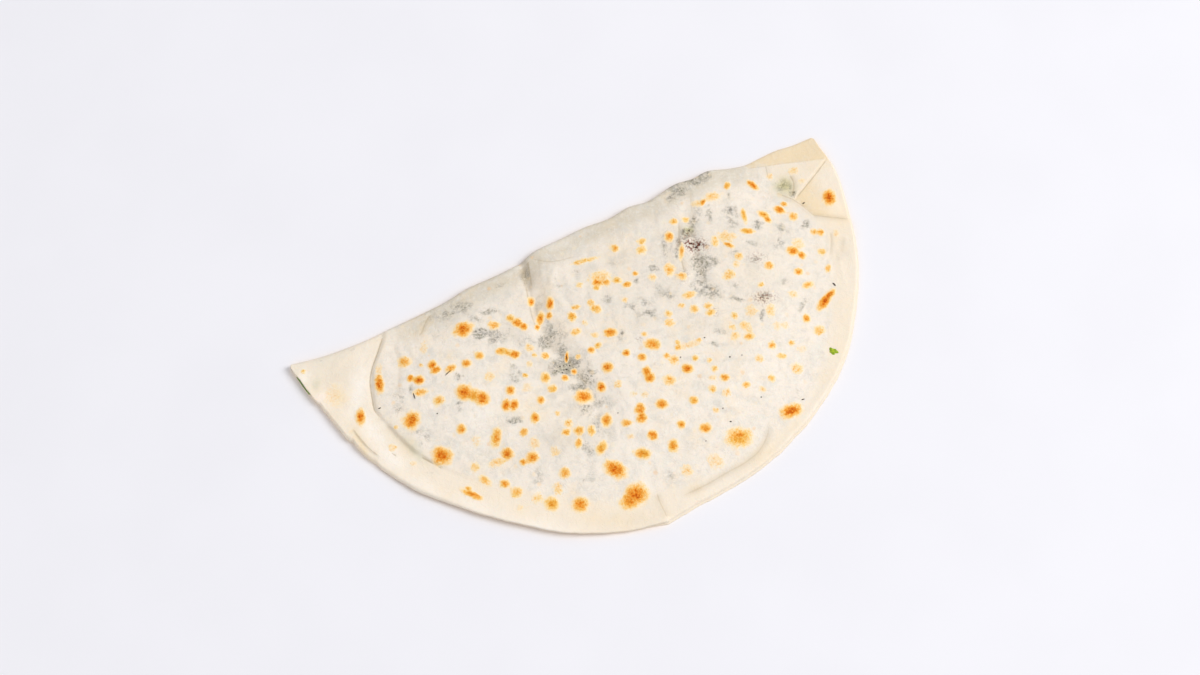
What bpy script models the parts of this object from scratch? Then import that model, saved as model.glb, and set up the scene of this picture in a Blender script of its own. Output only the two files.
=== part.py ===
"""Qutab: a thin round of dough, folded in half over chopped greens and pressed shut along its rim.

Sizes are in millimetres and become metres where a mesh is made. While the form is worked out, the
left tip is the zero point, X runs along the fold and -Y points to the rounded rim. At the end all is
moved so that the origin is the centre of the underside's box.
"""

import math

import bmesh
import bpy
import numpy as np

MM = 0.001

# Driving dimensions.
SHEET = 1.0  # one layer of dough
GAP = 0.3  # clearance between dough and filling
RIM = 2.0  # both layers, pressed together
MARGIN = 3.1  # the left margin, with a thin tongue of filling between its layers
MOUND = 6.6  # height of the filled middle
FOLD_HEIGHT = 4.6  # height of the folded edge over the filling
FOLD_DEPTH = 2.8  # how far back from the fold its rounding reaches
TIP_SHARE = 0.35  # and at most this share of a section, at the tips
SHOULDER = 15.0  # width of the slope behind the folded edge
EASE = 34.0  # width over which the mound reaches its full height
FOOT_STEP, FOOT_STEP_WIDTH = 0.7, 1.8  # at the left the mound starts with a small step
FOOT_SLOPE = 0.4  # and this share of its rise begins at once, while elsewhere all of it begins softly
STEP_FADE_X, STEP_FADE_Y = (74.0, 40.0), (-86.0, -56.0)  # where the step and the slope fade out
MARGIN_FADE_X, MARGIN_FADE_Y = (62.0, 32.0), (-66.0, -42.0)  # and where the thicker margin does
FOLD_RISE, FOLD_FALL = (30.0, 56.0), (228.0, 202.0)  # where the folded edge thickens and thins
EDGE_ROUND = 0.5  # rounding of the cut edge
RIM_LIFT = 1.2  # how far the left part of the rim stands off the table
LIFT_WIDTH = 12.0  # how far in from the rim it does so
LIFT_RISE, LIFT_FALL = (0.13, 0.20), (0.44, 0.36)  # where it begins and ends, as shares of the rim
FLAKE_RADIUS = 1.7  # a flake of green herb baked onto the rim
FLAKE_THICKNESS = 1.0  # half of it is sunk in the dough
FLAKE_TURN = -50.0
FLAKE_AT = (205.4, -90.7)

# The rounded rim, in two sweeps that meet at a pleat, and the folded edge.
RIM_LEFT = (
    (0.0, -1.6), (2.0, -13.5), (4.9, -24.0), (7.8, -35.0), (12.4, -48.5), (19.0, -61.6), (27.1, -73.6),
    (37.2, -84.2), (47.5, -94.2), (58.8, -103.5), (70.3, -112.2), (83.4, -119.0), (97.4, -124.0),
    (112.0, -127.4),
)
RIM_RIGHT = (
    (112.0, -127.4), (121.0, -126.4), (136.0, -125.3), (151.0, -123.7), (172.0, -117.8), (191.0, -108.6),
    (209.4, -94.8), (223.4, -77.0), (233.9, -58.6), (240.5, -37.2), (244.2, -15.0), (242.4, -1.6),
)
FOLD = (
    (0.7, -0.2), (14.0, -2.5), (33.0, -3.6), (46.0, -3.2), (60.0, -2.8), (70.0, -2.4), (80.0, -0.9),
    (90.0, -0.9), (99.0, -0.6), (104.0, -0.1), (111.0, 2.0), (124.0, 2.6), (136.0, 3.1), (147.0, 2.3),
    (157.0, 3.5), (165.0, 2.4), (172.0, 3.5), (179.0, 4.6), (187.0, 3.8), (194.0, 4.5), (203.0, 1.8),
    (210.0, 0.4), (217.0, 0.7), (225.0, 0.9), (233.0, 0.0), (241.2, -0.2),
)
# The foot of the mound, from the fold on the left round to the fold on the right.
MOUND_FOOT = (
    (46.0, 4.0), (38.1, -7.4), (29.7, -17.0), (25.6, -26.5), (24.0, -34.5), (25.6, -42.0), (28.6, -51.3),
    (33.2, -60.5), (38.8, -68.0), (46.5, -77.0), (58.5, -88.5), (75.0, -101.0), (92.0, -111.0),
    (112.0, -116.0), (143.0, -119.0), (178.0, -111.0),
    (195.0, -101.0), (212.0, -80.0), (224.0, -56.0), (228.0, -42.0), (223.5, -24.0), (219.0, -6.0),
    (212.0, 8.0),
)
MOUND_CENTRE = (128.0, -45.0)

# Creases in the top: points along each, and at both ends its depth and its width to the right and to
# the left. Their right side is the gentle one.
VALLEY = ((105.5, 3.0), (102.9, -13.0), (99.8, -34.0), (103.7, -56.0), (106.4, -72.0), (101.5, -97.0))
DENT = ((177.0, -9.0), (173.4, -21.5), (168.0, -43.5), (167.0, -52.0))
CREASE_FADE = 0.75  # beyond this share of its length a crease fades out
CREASES = (
    (VALLEY, (1.5, 1.5), (4.2, 10.0), (1.6, 5.0)),
    (DENT, (0.8, 0.6), (3.4, 6.0), (2.0, 4.0)),
)
# Low swellings of the filling: centre, radius and height.
SWELLINGS = (
    ((70.0, -48.0), 26.0, 0.6), ((150.0, -30.0), 22.0, 0.5), ((160.0, -82.0), 30.0, 0.7),
    ((205.0, -42.0), 18.0, 0.5), ((125.0, -62.0), 18.0, 0.5), ((84.0, -88.0), 18.0, 0.3),
)
# The tucked pleat at the right corner, whose triangle lies one layer lower than the dough beside it.
TUCK = ((246.0, -10.7), (222.0, -23.0), (226.0, -33.0), (246.0, -45.6))
TUCK_BESIDE = 0.9  # height of the doubled dough along the tuck's sides
TUCK_REACH = 14.0
# The pleat at the bottom, where the left sweep of the rim overlaps the right one.
PLEAT_TOP = (112.6, -111.0)
PLEAT_BASE = (112.2, -128.0)
PLEAT_STEP = 0.9
PLEAT_REACH = 22.0
PLEAT_EDGE = 1.6  # width of the slope at a pleat's edge

# The filling's thin tongue: how far it stays from the rim, against the share of the way along the
# rim. Near the left tip it reaches the open seam and shows there.
TONGUE_INSET = (
    (0.0, -0.2), (0.035, -0.2), (0.06, 7.0), (0.12, 14.0), (0.16, 25.0), (0.2, 60.0), (1.0, 200.0),
)
FILLING_SETBACK = 4.0  # how far inside the mound's foot the filling begins to rise
FILLING_LEAST = 0.4  # its thickness where it thins out
LEAST_STACK = 2.0 * SHEET + 2.0 * GAP + FILLING_LEAST  # it begins where the mound is this high

SECTIONS = 88
TOP_ROWS = 24
FILLING_ROWS = 9
FILLING_SHORTEST = 3.0  # sections shorter than this are left out
NOSE_TURNS = (60.0, 30.0, 0.0, -30.0, -60.0)  # degrees round the folded edge

DOUGH_COLOUR = (0.90, 0.83, 0.70, 1.0)
FILLING_COLOUR = (0.16, 0.24, 0.07, 1.0)


def smooth_line(points, count):
    """Evenly spaced points on a smooth curve through the given ones."""
    given = np.array(points)
    along = np.r_[0.0, np.cumsum(np.hypot(*np.diff(given, axis=0).T))]
    slope = np.gradient(given, along, axis=0)
    dense = np.linspace(0.0, along[-1], 60 * len(given))
    piece = np.clip(np.searchsorted(along, dense) - 1, 0, len(given) - 2)
    span = (along[piece + 1] - along[piece])[:, None]
    s = (dense - along[piece])[:, None] / span
    curve = (
        given[piece] * (1 + 2 * s) * (1 - s) ** 2
        + given[piece + 1] * s * s * (3 - 2 * s)
        + span * slope[piece] * s * (1 - s) ** 2
        + span * slope[piece + 1] * s * s * (s - 1)
    )
    length = np.r_[0.0, np.cumsum(np.hypot(*np.diff(curve, axis=0).T))]
    even = np.linspace(0.0, length[-1], count)
    return np.column_stack([np.interp(even, length, curve[:, axis]) for axis in (0, 1)])


def outline(count):
    """Matching points on the folded edge and on the rim, from the left tip to the right tip."""
    share = np.linspace(0.0, 1.0, count)
    fold = smooth_line(FOLD, 400)
    left = smooth_line(RIM_LEFT, 300)
    rim = np.vstack([left, smooth_line(RIM_RIGHT, 400)[1:]])
    length = np.r_[0.0, np.cumsum(np.hypot(*np.diff(rim, axis=0).T))]
    turn = length[len(left) - 1] / length[-1]
    share[np.argmin(abs(share - turn))] = turn
    rim_points = [np.interp(share * length[-1], length, rim[:, axis]) for axis in (0, 1)]
    fold_points = [np.interp(share, np.linspace(0.0, 1.0, len(fold)), fold[:, axis]) for axis in (0, 1)]
    return np.column_stack(fold_points), np.column_stack(rim_points)


def ramp(value, start, end):
    """A smooth rise from 0 to 1 as the value goes from start to end."""
    share = np.clip((value - start) / (end - start), 0.0, 1.0)
    return share * share * (3.0 - 2.0 * share)


def nearest(points, line):
    """Each point's distance to a line, and how far along the line its nearest place is, from 0 to 1.

    The distance is positive on the left side of a walk along the line.
    """
    gap = points[:, None, :] - line[None, :, :]
    index = np.linalg.norm(gap, axis=2).argmin(axis=1)
    gap = gap[np.arange(len(points)), index]
    tangent = np.gradient(line, axis=0)[index]
    side = np.where(tangent[:, 0] * gap[:, 1] < tangent[:, 1] * gap[:, 0], -1.0, 1.0)
    return side * np.linalg.norm(gap, axis=1), index / (len(line) - 1)


def inside_mound(points):
    """Distance to the mound's foot, positive on the mound and negative on the margin round it."""
    foot = smooth_line(MOUND_FOOT, 400)
    away = abs(nearest(points, foot)[0])
    centre = np.array(MOUND_CENTRE)

    def angle(place):
        # Measured from straight up, so that the gap at the folded edge is where it wraps round.
        offset = place - centre
        return np.mod(np.arctan2(-offset[:, 0], offset[:, 1]), 2 * math.pi)

    foot_radius = np.interp(angle(points), angle(foot), np.linalg.norm(foot - centre, axis=1))
    inner = np.linalg.norm(points - centre, axis=1) < foot_radius
    open_side = (angle(points) < angle(foot)[0]) | (angle(points) > angle(foot)[-1])
    return np.where(inner | open_side, away, -away)


def tuck_relief(points):
    """The doubled dough beside the tucked triangle, and nothing inside it."""
    tuck = np.array(TUCK)
    centre = tuck.mean(axis=0)
    inner = np.full(len(points), np.inf)
    for start, end in zip(tuck[:-1], tuck[1:]):
        along = (end - start) / np.linalg.norm(end - start)
        across = np.array([-along[1], along[0]])
        across = across * np.sign((centre - start) @ across)
        inner = np.minimum(inner, (points - start) @ across)
    return TUCK_BESIDE * ramp(-inner, 0.0, PLEAT_EDGE) * ramp(-inner, TUCK_REACH, 0.0)


def pleat_relief(points):
    """The overlapping layer on the left of the bottom pleat, which fades to the left and upwards."""
    top, base = np.array(PLEAT_TOP), np.array(PLEAT_BASE)
    line_x = np.interp(points[:, 1], (base[1], top[1]), (base[0], top[0]))
    left = line_x - points[:, 0]
    step = ramp(left, -PLEAT_EDGE / 2, PLEAT_EDGE / 2) * ramp(left, PLEAT_REACH, 0.0)
    return PLEAT_STEP * step * ramp(points[:, 1], top[1], base[1])


def crease_depth(points, spread):
    """How far the valley and the dent press the top down. A larger spread makes them wider."""
    total = np.zeros(len(points))
    for line, depths, right, left in CREASES:
        away, along = nearest(points, smooth_line(line, 160))
        depth = depths[0] + (depths[1] - depths[0]) * along
        right_width = right[0] + (right[1] - right[0]) * along
        left_width = left[0] + (left[1] - left[0]) * along
        width = spread * np.where(away > 0.0, right_width, left_width)
        fade = ramp(along, 1.0, CREASE_FADE)
        total += depth * fade * np.exp(-((away / width) ** 2))
    return total


def fold_height(x):
    """Thickness of the folded edge: two layers at the tips, more where filling lies behind it."""
    return MARGIN + (FOLD_HEIGHT - MARGIN) * ramp(x, *FOLD_RISE) * ramp(x, *FOLD_FALL)


def margin_height(points):
    """Height of the flat dough round the mound, with the pleats that lie on it."""
    x, y = points.T
    left = ramp(x, *MARGIN_FADE_X) * ramp(y, *MARGIN_FADE_Y)
    return RIM + (MARGIN - RIM) * left + tuck_relief(points) + pleat_relief(points)


def mound_height(points, fold_line, spread=1.0):
    """Height that the filled dough reaches away from the mound's foot, down to the folded edge."""
    x, y = points.T
    peak = np.full(len(points), MOUND)
    for centre, radius, height in SWELLINGS:
        peak += height * np.exp(-(((x - centre[0]) ** 2 + (y - centre[1]) ** 2) / radius**2))
    back = abs(nearest(points, fold_line)[0])
    edge = fold_height(x)
    return edge + (peak - edge) * ramp(back, 0.0, SHOULDER) ** 0.8 - crease_depth(points, spread)


def rise(points, inner):
    """From 0 at the mound's foot to 1 on the mound, against the distance inside the foot."""
    x, y = points.T
    at_once = 1.0 - (1.0 - np.clip(inner / EASE, 0.0, 1.0)) ** 2
    share = FOOT_SLOPE * ramp(x, *STEP_FADE_X) * ramp(y, *STEP_FADE_Y)
    return share * at_once + (1.0 - share) * ramp(inner, 0.0, EASE)


def top_height(points, fold_line):
    """Height of the top surface, with a step at the mound's foot on the left."""
    x, y = points.T
    inner = inside_mound(points)
    step = FOOT_STEP * ramp(x, *STEP_FADE_X) * ramp(y, *STEP_FADE_Y)
    flat = margin_height(points) + step * ramp(inner, 0.0, FOOT_STEP_WIDTH)
    return flat + np.maximum(mound_height(points, fold_line) - flat, 0.0) * rise(points, inner)


def filling_height(points, fold_line):
    """Height of the filling's top, one layer of dough lower and softer in form."""
    flat = margin_height(points)
    high = mound_height(points, fold_line, spread=2.4)
    inner = inside_mound(points) - FILLING_SETBACK
    lifted = flat + np.maximum(high - flat, 0.0) * rise(points, inner)
    return np.maximum(lifted - SHEET, SHEET + GAP + FILLING_LEAST + GAP) - GAP


def underside(points, rim_line):
    """Height of the underside: flat, but for the lifted left part of the rim."""
    away, along = nearest(points, rim_line)
    lifted = ramp(along, *LIFT_RISE) * ramp(along, *LIFT_FALL)
    return RIM_LIFT * lifted * ramp(abs(away), LIFT_WIDTH, 0.0)


def loft(name, rings, material, collection):
    """A closed mesh object through rings that all have the same number of points."""
    mesh = bpy.data.meshes.new(name)
    shape = bmesh.new()
    loops = [[shape.verts.new(point * MM) for point in ring] for ring in rings]
    for one, other in zip(loops[:-1], loops[1:]):
        for k in range(len(one)):
            n = (k + 1) % len(one)
            shape.faces.new((one[k], one[n], other[n], other[k]))
    shape.faces.new(loops[0])
    shape.faces.new(loops[-1])
    bmesh.ops.recalc_face_normals(shape, faces=shape.faces)
    bmesh.ops.triangulate(shape, faces=shape.faces)
    shape.to_mesh(mesh)
    shape.free()
    mesh.shade_smooth()
    mesh.set_sharp_from_angle(angle=math.radians(50))
    mesh.materials.append(material)
    obj = bpy.data.objects.new(name, mesh)
    collection.objects.link(obj)
    return obj


def nose(fold_point, inward, depth, low, high):
    """Points round a folded edge, from above to below."""
    points = []
    middle, half = (high + low) / 2, (high - low) / 2
    for turn in np.radians(NOSE_TURNS):
        place = fold_point + inward * depth * (1.0 - math.cos(turn))
        points.append((*place, middle + half * math.sin(turn)))
    return points


def dough_ring(fold_point, rim_point, fold, rim):
    """One section of the folded dough: over the top from the rim, round the fold and back below."""
    length = np.linalg.norm(fold_point - rim_point)
    inward = (rim_point - fold_point) / length
    depth = min(FOLD_DEPTH, TIP_SHARE * length)
    edge = min(EDGE_ROUND, 0.2 * length)
    away = edge + np.linspace(0.0, 1.0, TOP_ROWS) ** 1.2 * (length - edge - depth)
    top = rim_point - away[:, None] * inward
    top_z = top_height(top, fold) + underside(top, rim)
    lift_rows = np.minimum((LIFT_WIDTH, 0.5 * LIFT_WIDTH), (0.4 * length, 0.3 * length))
    away_below = np.array([length - depth, 0.5 * length, *lift_rows, edge])
    below = rim_point - away_below[:, None] * inward
    below_z = underside(below, rim)
    ring = [(*rim_point, top_z[0] - EDGE_ROUND), *np.column_stack([top, top_z])]
    ring += nose(fold_point, inward, depth, 0.0, top_z[-1])
    ring += [*np.column_stack([below, below_z]), (*rim_point, below_z[-1] + EDGE_ROUND)]
    return np.array(ring)


def filling_start(fold_point, rim_point, fold, share):
    """How far from the rim the filling begins in one section: in the tongue, or inside the mound's foot."""
    away = np.linspace(0.0, 1.0, 250)
    line = rim_point + away[:, None] * (fold_point - rim_point)
    room = top_height(line, fold) > LEAST_STACK
    under_mound = np.flatnonzero(room & (inside_mound(line) > FILLING_SETBACK))
    at_foot = away[under_mound[0]] if len(under_mound) else 1.0
    in_tongue = np.interp(share, *np.transpose(TONGUE_INSET))
    return min(at_foot * np.linalg.norm(fold_point - rim_point), in_tongue)


def filling_ring(fold_point, rim_point, fold, share, grow):
    """One section of the filling, or of the hollow that holds it where it is grown by the gap."""
    length = np.linalg.norm(fold_point - rim_point)
    inward = (rim_point - fold_point) / length
    first = filling_start(fold_point, rim_point, fold, share)
    last = length - min(FOLD_DEPTH, TIP_SHARE * length) - 0.2 * SHEET
    if last - first < FILLING_SHORTEST:
        return None
    away = np.linspace(first - grow, last + grow, FILLING_ROWS)
    top = rim_point - away[:, None] * inward
    high = filling_height(top, fold) + grow
    low = SHEET + GAP - grow
    end = top[-1] - (SHEET - 0.1) * inward
    ring = [*np.column_stack([top, high]), (*end, (high[-1] + low) / 2)]
    ring += [(*place, low) for place in top[::-1]]
    return np.array(ring)


def filling_rings(fold, rim, grow):
    """The filling's sections: close together at the left tip, then every second one of the dough's."""
    chosen = [*range(1, 8), *range(9, SECTIONS, 2)]
    shares = np.linspace(0.0, 1.0, SECTIONS)
    rings = [filling_ring(fold[k], rim[k], fold, shares[k], grow) for k in chosen]
    rings = [ring for ring in rings if ring is not None]
    for end, next_one in ((0, 1), (-1, -2)):
        outward = rings[end].mean(axis=0) - rings[next_one].mean(axis=0)
        outward[2] = 0.0
        rings[end] = rings[end] + grow * outward / np.linalg.norm(outward)
    return rings


def material(name, colour, roughness):
    """A plain Principled material."""
    made = bpy.data.materials.new(name)
    made.use_nodes = True
    shader = made.node_tree.nodes["Principled BSDF"]
    shader.inputs["Base Color"].default_value = colour
    shader.inputs["Roughness"].default_value = roughness
    shader.inputs["Metallic"].default_value = 0.0
    made.diffuse_color = colour
    return made


def collection(name):
    made = bpy.data.collections.new(name)
    bpy.context.scene.collection.children.link(made)
    return made


def flake(place, helpers):
    """A small leaf flake that lies on the dough: a flat disc with an uneven edge."""
    mesh = bpy.data.meshes.new("herb_flake")
    shape = bmesh.new()
    bmesh.ops.create_cone(
        shape, cap_ends=True, segments=9, radius1=1.0, radius2=0.9, depth=FLAKE_THICKNESS
    )
    for vert in shape.verts:
        turn = math.atan2(vert.co.y, vert.co.x)
        reach = FLAKE_RADIUS * (1.0 + 0.2 * math.sin(3 * turn) + 0.12 * math.sin(5 * turn + 1.0))
        vert.co.x *= reach * MM
        vert.co.y *= 0.7 * reach * MM
        vert.co.z *= MM
    shape.to_mesh(mesh)
    shape.free()
    obj = bpy.data.objects.new("herb_flake", mesh)
    obj.location = [value * MM for value in place]
    obj.rotation_euler = (0.0, 0.0, math.radians(FLAKE_TURN))
    helpers.objects.link(obj)
    return obj


def boolean(obj, operation, other):
    """Cuts from or joins to an object, and keeps the other one only as a guide."""
    modifier = obj.modifiers.new(other.name, "BOOLEAN")
    modifier.operation = operation
    modifier.solver = "EXACT"
    modifier.object = other
    other.hide_render = True
    other.display_type = "WIRE"


def main():
    for obj in list(bpy.data.objects):
        bpy.data.objects.remove(obj, do_unlink=True)
    parts = collection("qutab")
    helpers = collection("cutters")
    fold, rim = outline(SECTIONS)
    dough_paint = material("dough", DOUGH_COLOUR, 0.75)
    filling_paint = material("greens", FILLING_COLOUR, 0.6)

    rings = [dough_ring(fold[k], rim[k], fold, rim) for k in range(SECTIONS)]
    corners = np.vstack(rings)
    middle = (corners.min(axis=0) + corners.max(axis=0)) / 2
    shift = np.array([middle[0], middle[1], 0.0])

    dough = loft("dough", [ring - shift for ring in rings], dough_paint, parts)
    filling = filling_rings(fold, rim, 0.0)
    loft("filling", [ring - shift for ring in filling], filling_paint, parts)
    hollow = filling_rings(fold, rim, GAP)
    hollow = loft("hollow", [ring - shift for ring in hollow], filling_paint, helpers)
    boolean(dough, "DIFFERENCE", hollow)

    flake_z = top_height(np.array([FLAKE_AT]), fold)[0]
    boolean(dough, "UNION", flake(np.array([*FLAKE_AT, flake_z]) - shift, helpers))


main()
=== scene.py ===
"""Qutab, dressed: a folded half-moon of thin dough over chopped greens, with a toasted, wrinkled top.

Sizes are in millimetres and become metres where a mesh is made. The form is worked out in plan with
the left tip as the zero point, X along the fold and -Y towards the rounded rim, and is then moved to
the row frame. Places on the top that were read from the photograph are given as its pixels, and a ray
of the camera carries each of them onto the dough.
"""

import math

import bpy
import mathutils
import numpy as np
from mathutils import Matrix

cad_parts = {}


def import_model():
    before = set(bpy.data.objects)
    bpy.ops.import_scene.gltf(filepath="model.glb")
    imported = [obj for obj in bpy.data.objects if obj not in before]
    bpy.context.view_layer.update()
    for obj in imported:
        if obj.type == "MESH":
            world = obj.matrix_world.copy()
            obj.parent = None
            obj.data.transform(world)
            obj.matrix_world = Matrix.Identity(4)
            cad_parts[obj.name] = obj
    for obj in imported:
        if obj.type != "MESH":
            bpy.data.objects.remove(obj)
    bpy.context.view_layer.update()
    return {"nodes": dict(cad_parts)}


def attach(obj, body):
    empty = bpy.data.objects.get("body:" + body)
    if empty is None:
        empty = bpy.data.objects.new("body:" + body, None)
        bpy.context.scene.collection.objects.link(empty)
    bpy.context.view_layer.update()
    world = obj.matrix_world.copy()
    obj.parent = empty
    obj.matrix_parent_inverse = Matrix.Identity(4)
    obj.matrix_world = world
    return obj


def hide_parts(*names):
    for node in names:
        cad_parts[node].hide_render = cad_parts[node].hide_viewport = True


MM = 0.001

# The photograph and its camera. The look-at point lies on the table, in the plan's millimetres.
PHOTO_WIDTH, PHOTO_HEIGHT = 1200.0, 675.0
LENS, SENSOR = 70.0, 36.0
CAMERA_DISTANCE = 968.2
CAMERA_HEIGHT_ANGLE = 70.0
FOLD_TURN = 25.36  # how far the fold rises to the right in the photograph
LOOK_AT = (121.22, -43.30)
SEARCH_START, SEARCH_STEPS = 6.0, 4  # height at which a ray's search for the top starts

# ---------------------------------------------------------------- form, the same as the solids'
SHEET = 1.0  # a layer of dough
RIM, MARGIN = 2.0, 3.1  # height of the pressed rim, and of the thicker margin on the left
MOUND = 6.6
FOLD_HEIGHT, FOLD_DEPTH = 4.6, 2.8  # the folded edge: its height, and how far its rounding reaches inwards
TIP_SHARE = 0.35  # at the tips the rounding takes this share of the section
SHOULDER, SHOULDER_BOW = 15.0, 0.8  # the mound rises over this distance from the fold, and bows up
EASE = 34.0  # and over this one from its foot
FOOT_STEP, FOOT_STEP_WIDTH = 0.7, 1.8  # the small step of its foot on the left
FOOT_SLOPE = 0.4  # there this share of the rise comes at once
STEP_FADE_X, STEP_FADE_Y = (74.0, 40.0), (-86.0, -56.0)
MARGIN_FADE_X, MARGIN_FADE_Y = (62.0, 32.0), (-66.0, -42.0)
FOLD_RISE, FOLD_FALL = (30.0, 56.0), (228.0, 202.0)
RIM_LIFT, LIFT_WIDTH = 1.2, 12.0  # the lifted left rim, with its start and end as shares of the rim
LIFT_RISE, LIFT_FALL = (0.13, 0.20), (0.44, 0.36)
SOLID_SECTIONS = 88  # the solids' own, whose box gives the frame its zero point

RIM_LEFT = (
    (0, -1.6), (2, -13.5), (4.9, -24), (7.8, -35), (12.4, -48.5), (19, -61.6), (27.1, -73.6), (37.2, -84.2),
    (47.5, -94.2), (58.8, -103.5), (70.3, -112.2), (83.4, -119), (97.4, -124), (112, -127.4),
)
RIM_RIGHT = (
    (112, -127.4), (121, -126.4), (136, -125.3), (151, -123.7), (172, -117.8), (191, -108.6), (209.4, -94.8),
    (223.4, -77), (233.9, -58.6), (240.5, -37.2), (244.2, -15), (242.4, -1.6),
)
FOLD = (
    (0.7, -0.2), (14, -2.5), (33, -3.6), (46, -3.2), (60, -2.8), (70, -2.4), (80, -0.9), (90, -0.9),
    (99, -0.6), (104, -0.1), (111, 2), (124, 2.6), (136, 3.1), (147, 2.3), (157, 3.5), (165, 2.4), (172, 3.5),
    (179, 4.6), (187, 3.8), (194, 4.5), (203, 1.8), (210, 0.4), (217, 0.7), (225, 0.9), (233, 0),
    (241.2, -0.2),
)
MOUND_FOOT = (
    (46, 4), (38.1, -7.4), (29.7, -17), (25.6, -26.5), (24, -34.5), (25.6, -42), (28.6, -51.3), (33.2, -60.5),
    (38.8, -68), (46.5, -77), (58.5, -88.5), (75, -101), (92, -111), (112, -116), (143, -119), (178, -111),
    (195, -101), (212, -80), (224, -56), (228, -42), (223.5, -24), (219, -6), (212, 8),
)
MOUND_CENTRE = (128.0, -45.0)
SWELLINGS = (
    ((70, -48), 26, 0.6), ((150, -30), 22, 0.5), ((160, -82), 30, 0.7), ((205, -42), 18, 0.5),
    ((125, -62), 18, 0.5), ((84, -88), 18, 0.3),
)
TUCK = ((246.0, -10.7), (222.0, -23.0), (226.0, -33.0), (246.0, -45.6))
TUCK_BESIDE = 0.9
TUCK_REACH = 14.0
PLEAT_TOP = (112.6, -111.0)
PLEAT_BASE = (112.2, -128.0)
PLEAT_STEP = 0.9
PLEAT_REACH = 22.0
PLEAT_EDGE = 0.9

# ---------------------------------------------------------------- fine form
SECTIONS = 520  # from tip to tip
TOP_ROWS = 180  # from the rim to the folded edge
NOSE_ROWS, NOSE_TURN = 13, 80.0  # round that edge, from this angle above level to the same below
BASE_ROWS = 34  # back along the underside
ROW_CROWDING = 1.1  # above 1 the rows of the top lie closer together at the rim
TIP_LENGTH = 8.0  # sections shorter than this have a smaller edge profile
EDGE_RADIUS = 0.5
EDGE_ROWS = (0.0, 0.12, 0.4, 0.9)  # rows over the rounded upper edge of the rim, as shares of its radius
RIM_LENGTH = 340.0
RIM_WAVE = 0.3  # uneven cut of the rim, in waves of these sizes, shares and seeds
RIM_WAVES = ((7.0, 1.0, 81), (3.0, 0.5, 82))
# Nicks in the rim, and where the depth is negative bulges: place in plan, half width and depth.
NICKS = ((10.6, -42.7, 1.2, 1.0), (8.6, -38.2, 2.6, -0.5), (4.1, -22.4, 1.4, 0.7), (15.3, -54.6, 1.6, 0.35))
SETBACK, SETBACK_WAVE = 0.05, 0.08  # how far the upper layer's cut edge stays behind the outline
SETBACK_SWELLS = (9.0, 83)
UNDERCUT, LEDGE = 0.12, 0.35  # the lower one stays behind left of the bottom pleat, and stands out beyond
SOFT_LEFT, SOFT_LEFT_SHARES = 1.3, (0.045, 0.06, 0.20, 0.28)  # extra rounding along the thick left margin
SOFT_RIGHT, SOFT_RIGHT_RISE = 0.5, (0.44, 0.48)  # and right of the bottom pleat, as shares of the rim
SLOPE_RIGHT = 0.7  # where the cut edge slopes, and its upper end lies this much further in
MOUTH_SHARES = (0.008, 0.018, 0.036, 0.046)  # the open seam by the left tip, as shares of the rim
MOUTH_SETBACK = 0.65  # there the lower layer reaches further out than the upper one
MOUTH_DEPTH = 7.0
MOUTH_LIP, LIP_REACH = 0.15, 5.0  # how far the upper lip stands up, and how far in from the rim
POCKET_SHARE, LEAST_POCKET = 0.45, 0.3  # the seam goes no deeper than this share of the section
SEAM_DEPTH = (0.3, 0.05)  # the groove between the pressed layers, left and right of that pleat
SHUT_SEAM, LEAST_SEAM = 0.03, 0.02  # height of the seam where it is shut, and its least one
# Rows of the cut edge from below: how far in they lie, and their height as a share of the layer's.
LOWER_CUT = ((0.0, 0.30), (0.0, 0.65), (0.14, 0.92), (0.30, 1.0))
UPPER_CUT = ((0.16, 0.0), (0.0, 0.35))
BASE_INSET = 0.12  # how far the underside's edge stays behind the lowest of them

# The map for the paint: width of its content, edge round it, and how far apart its two halves are.
MAP_SIDE, MAP_EDGE, MAP_STEP = 0.96, 0.02, 1.05

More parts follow.
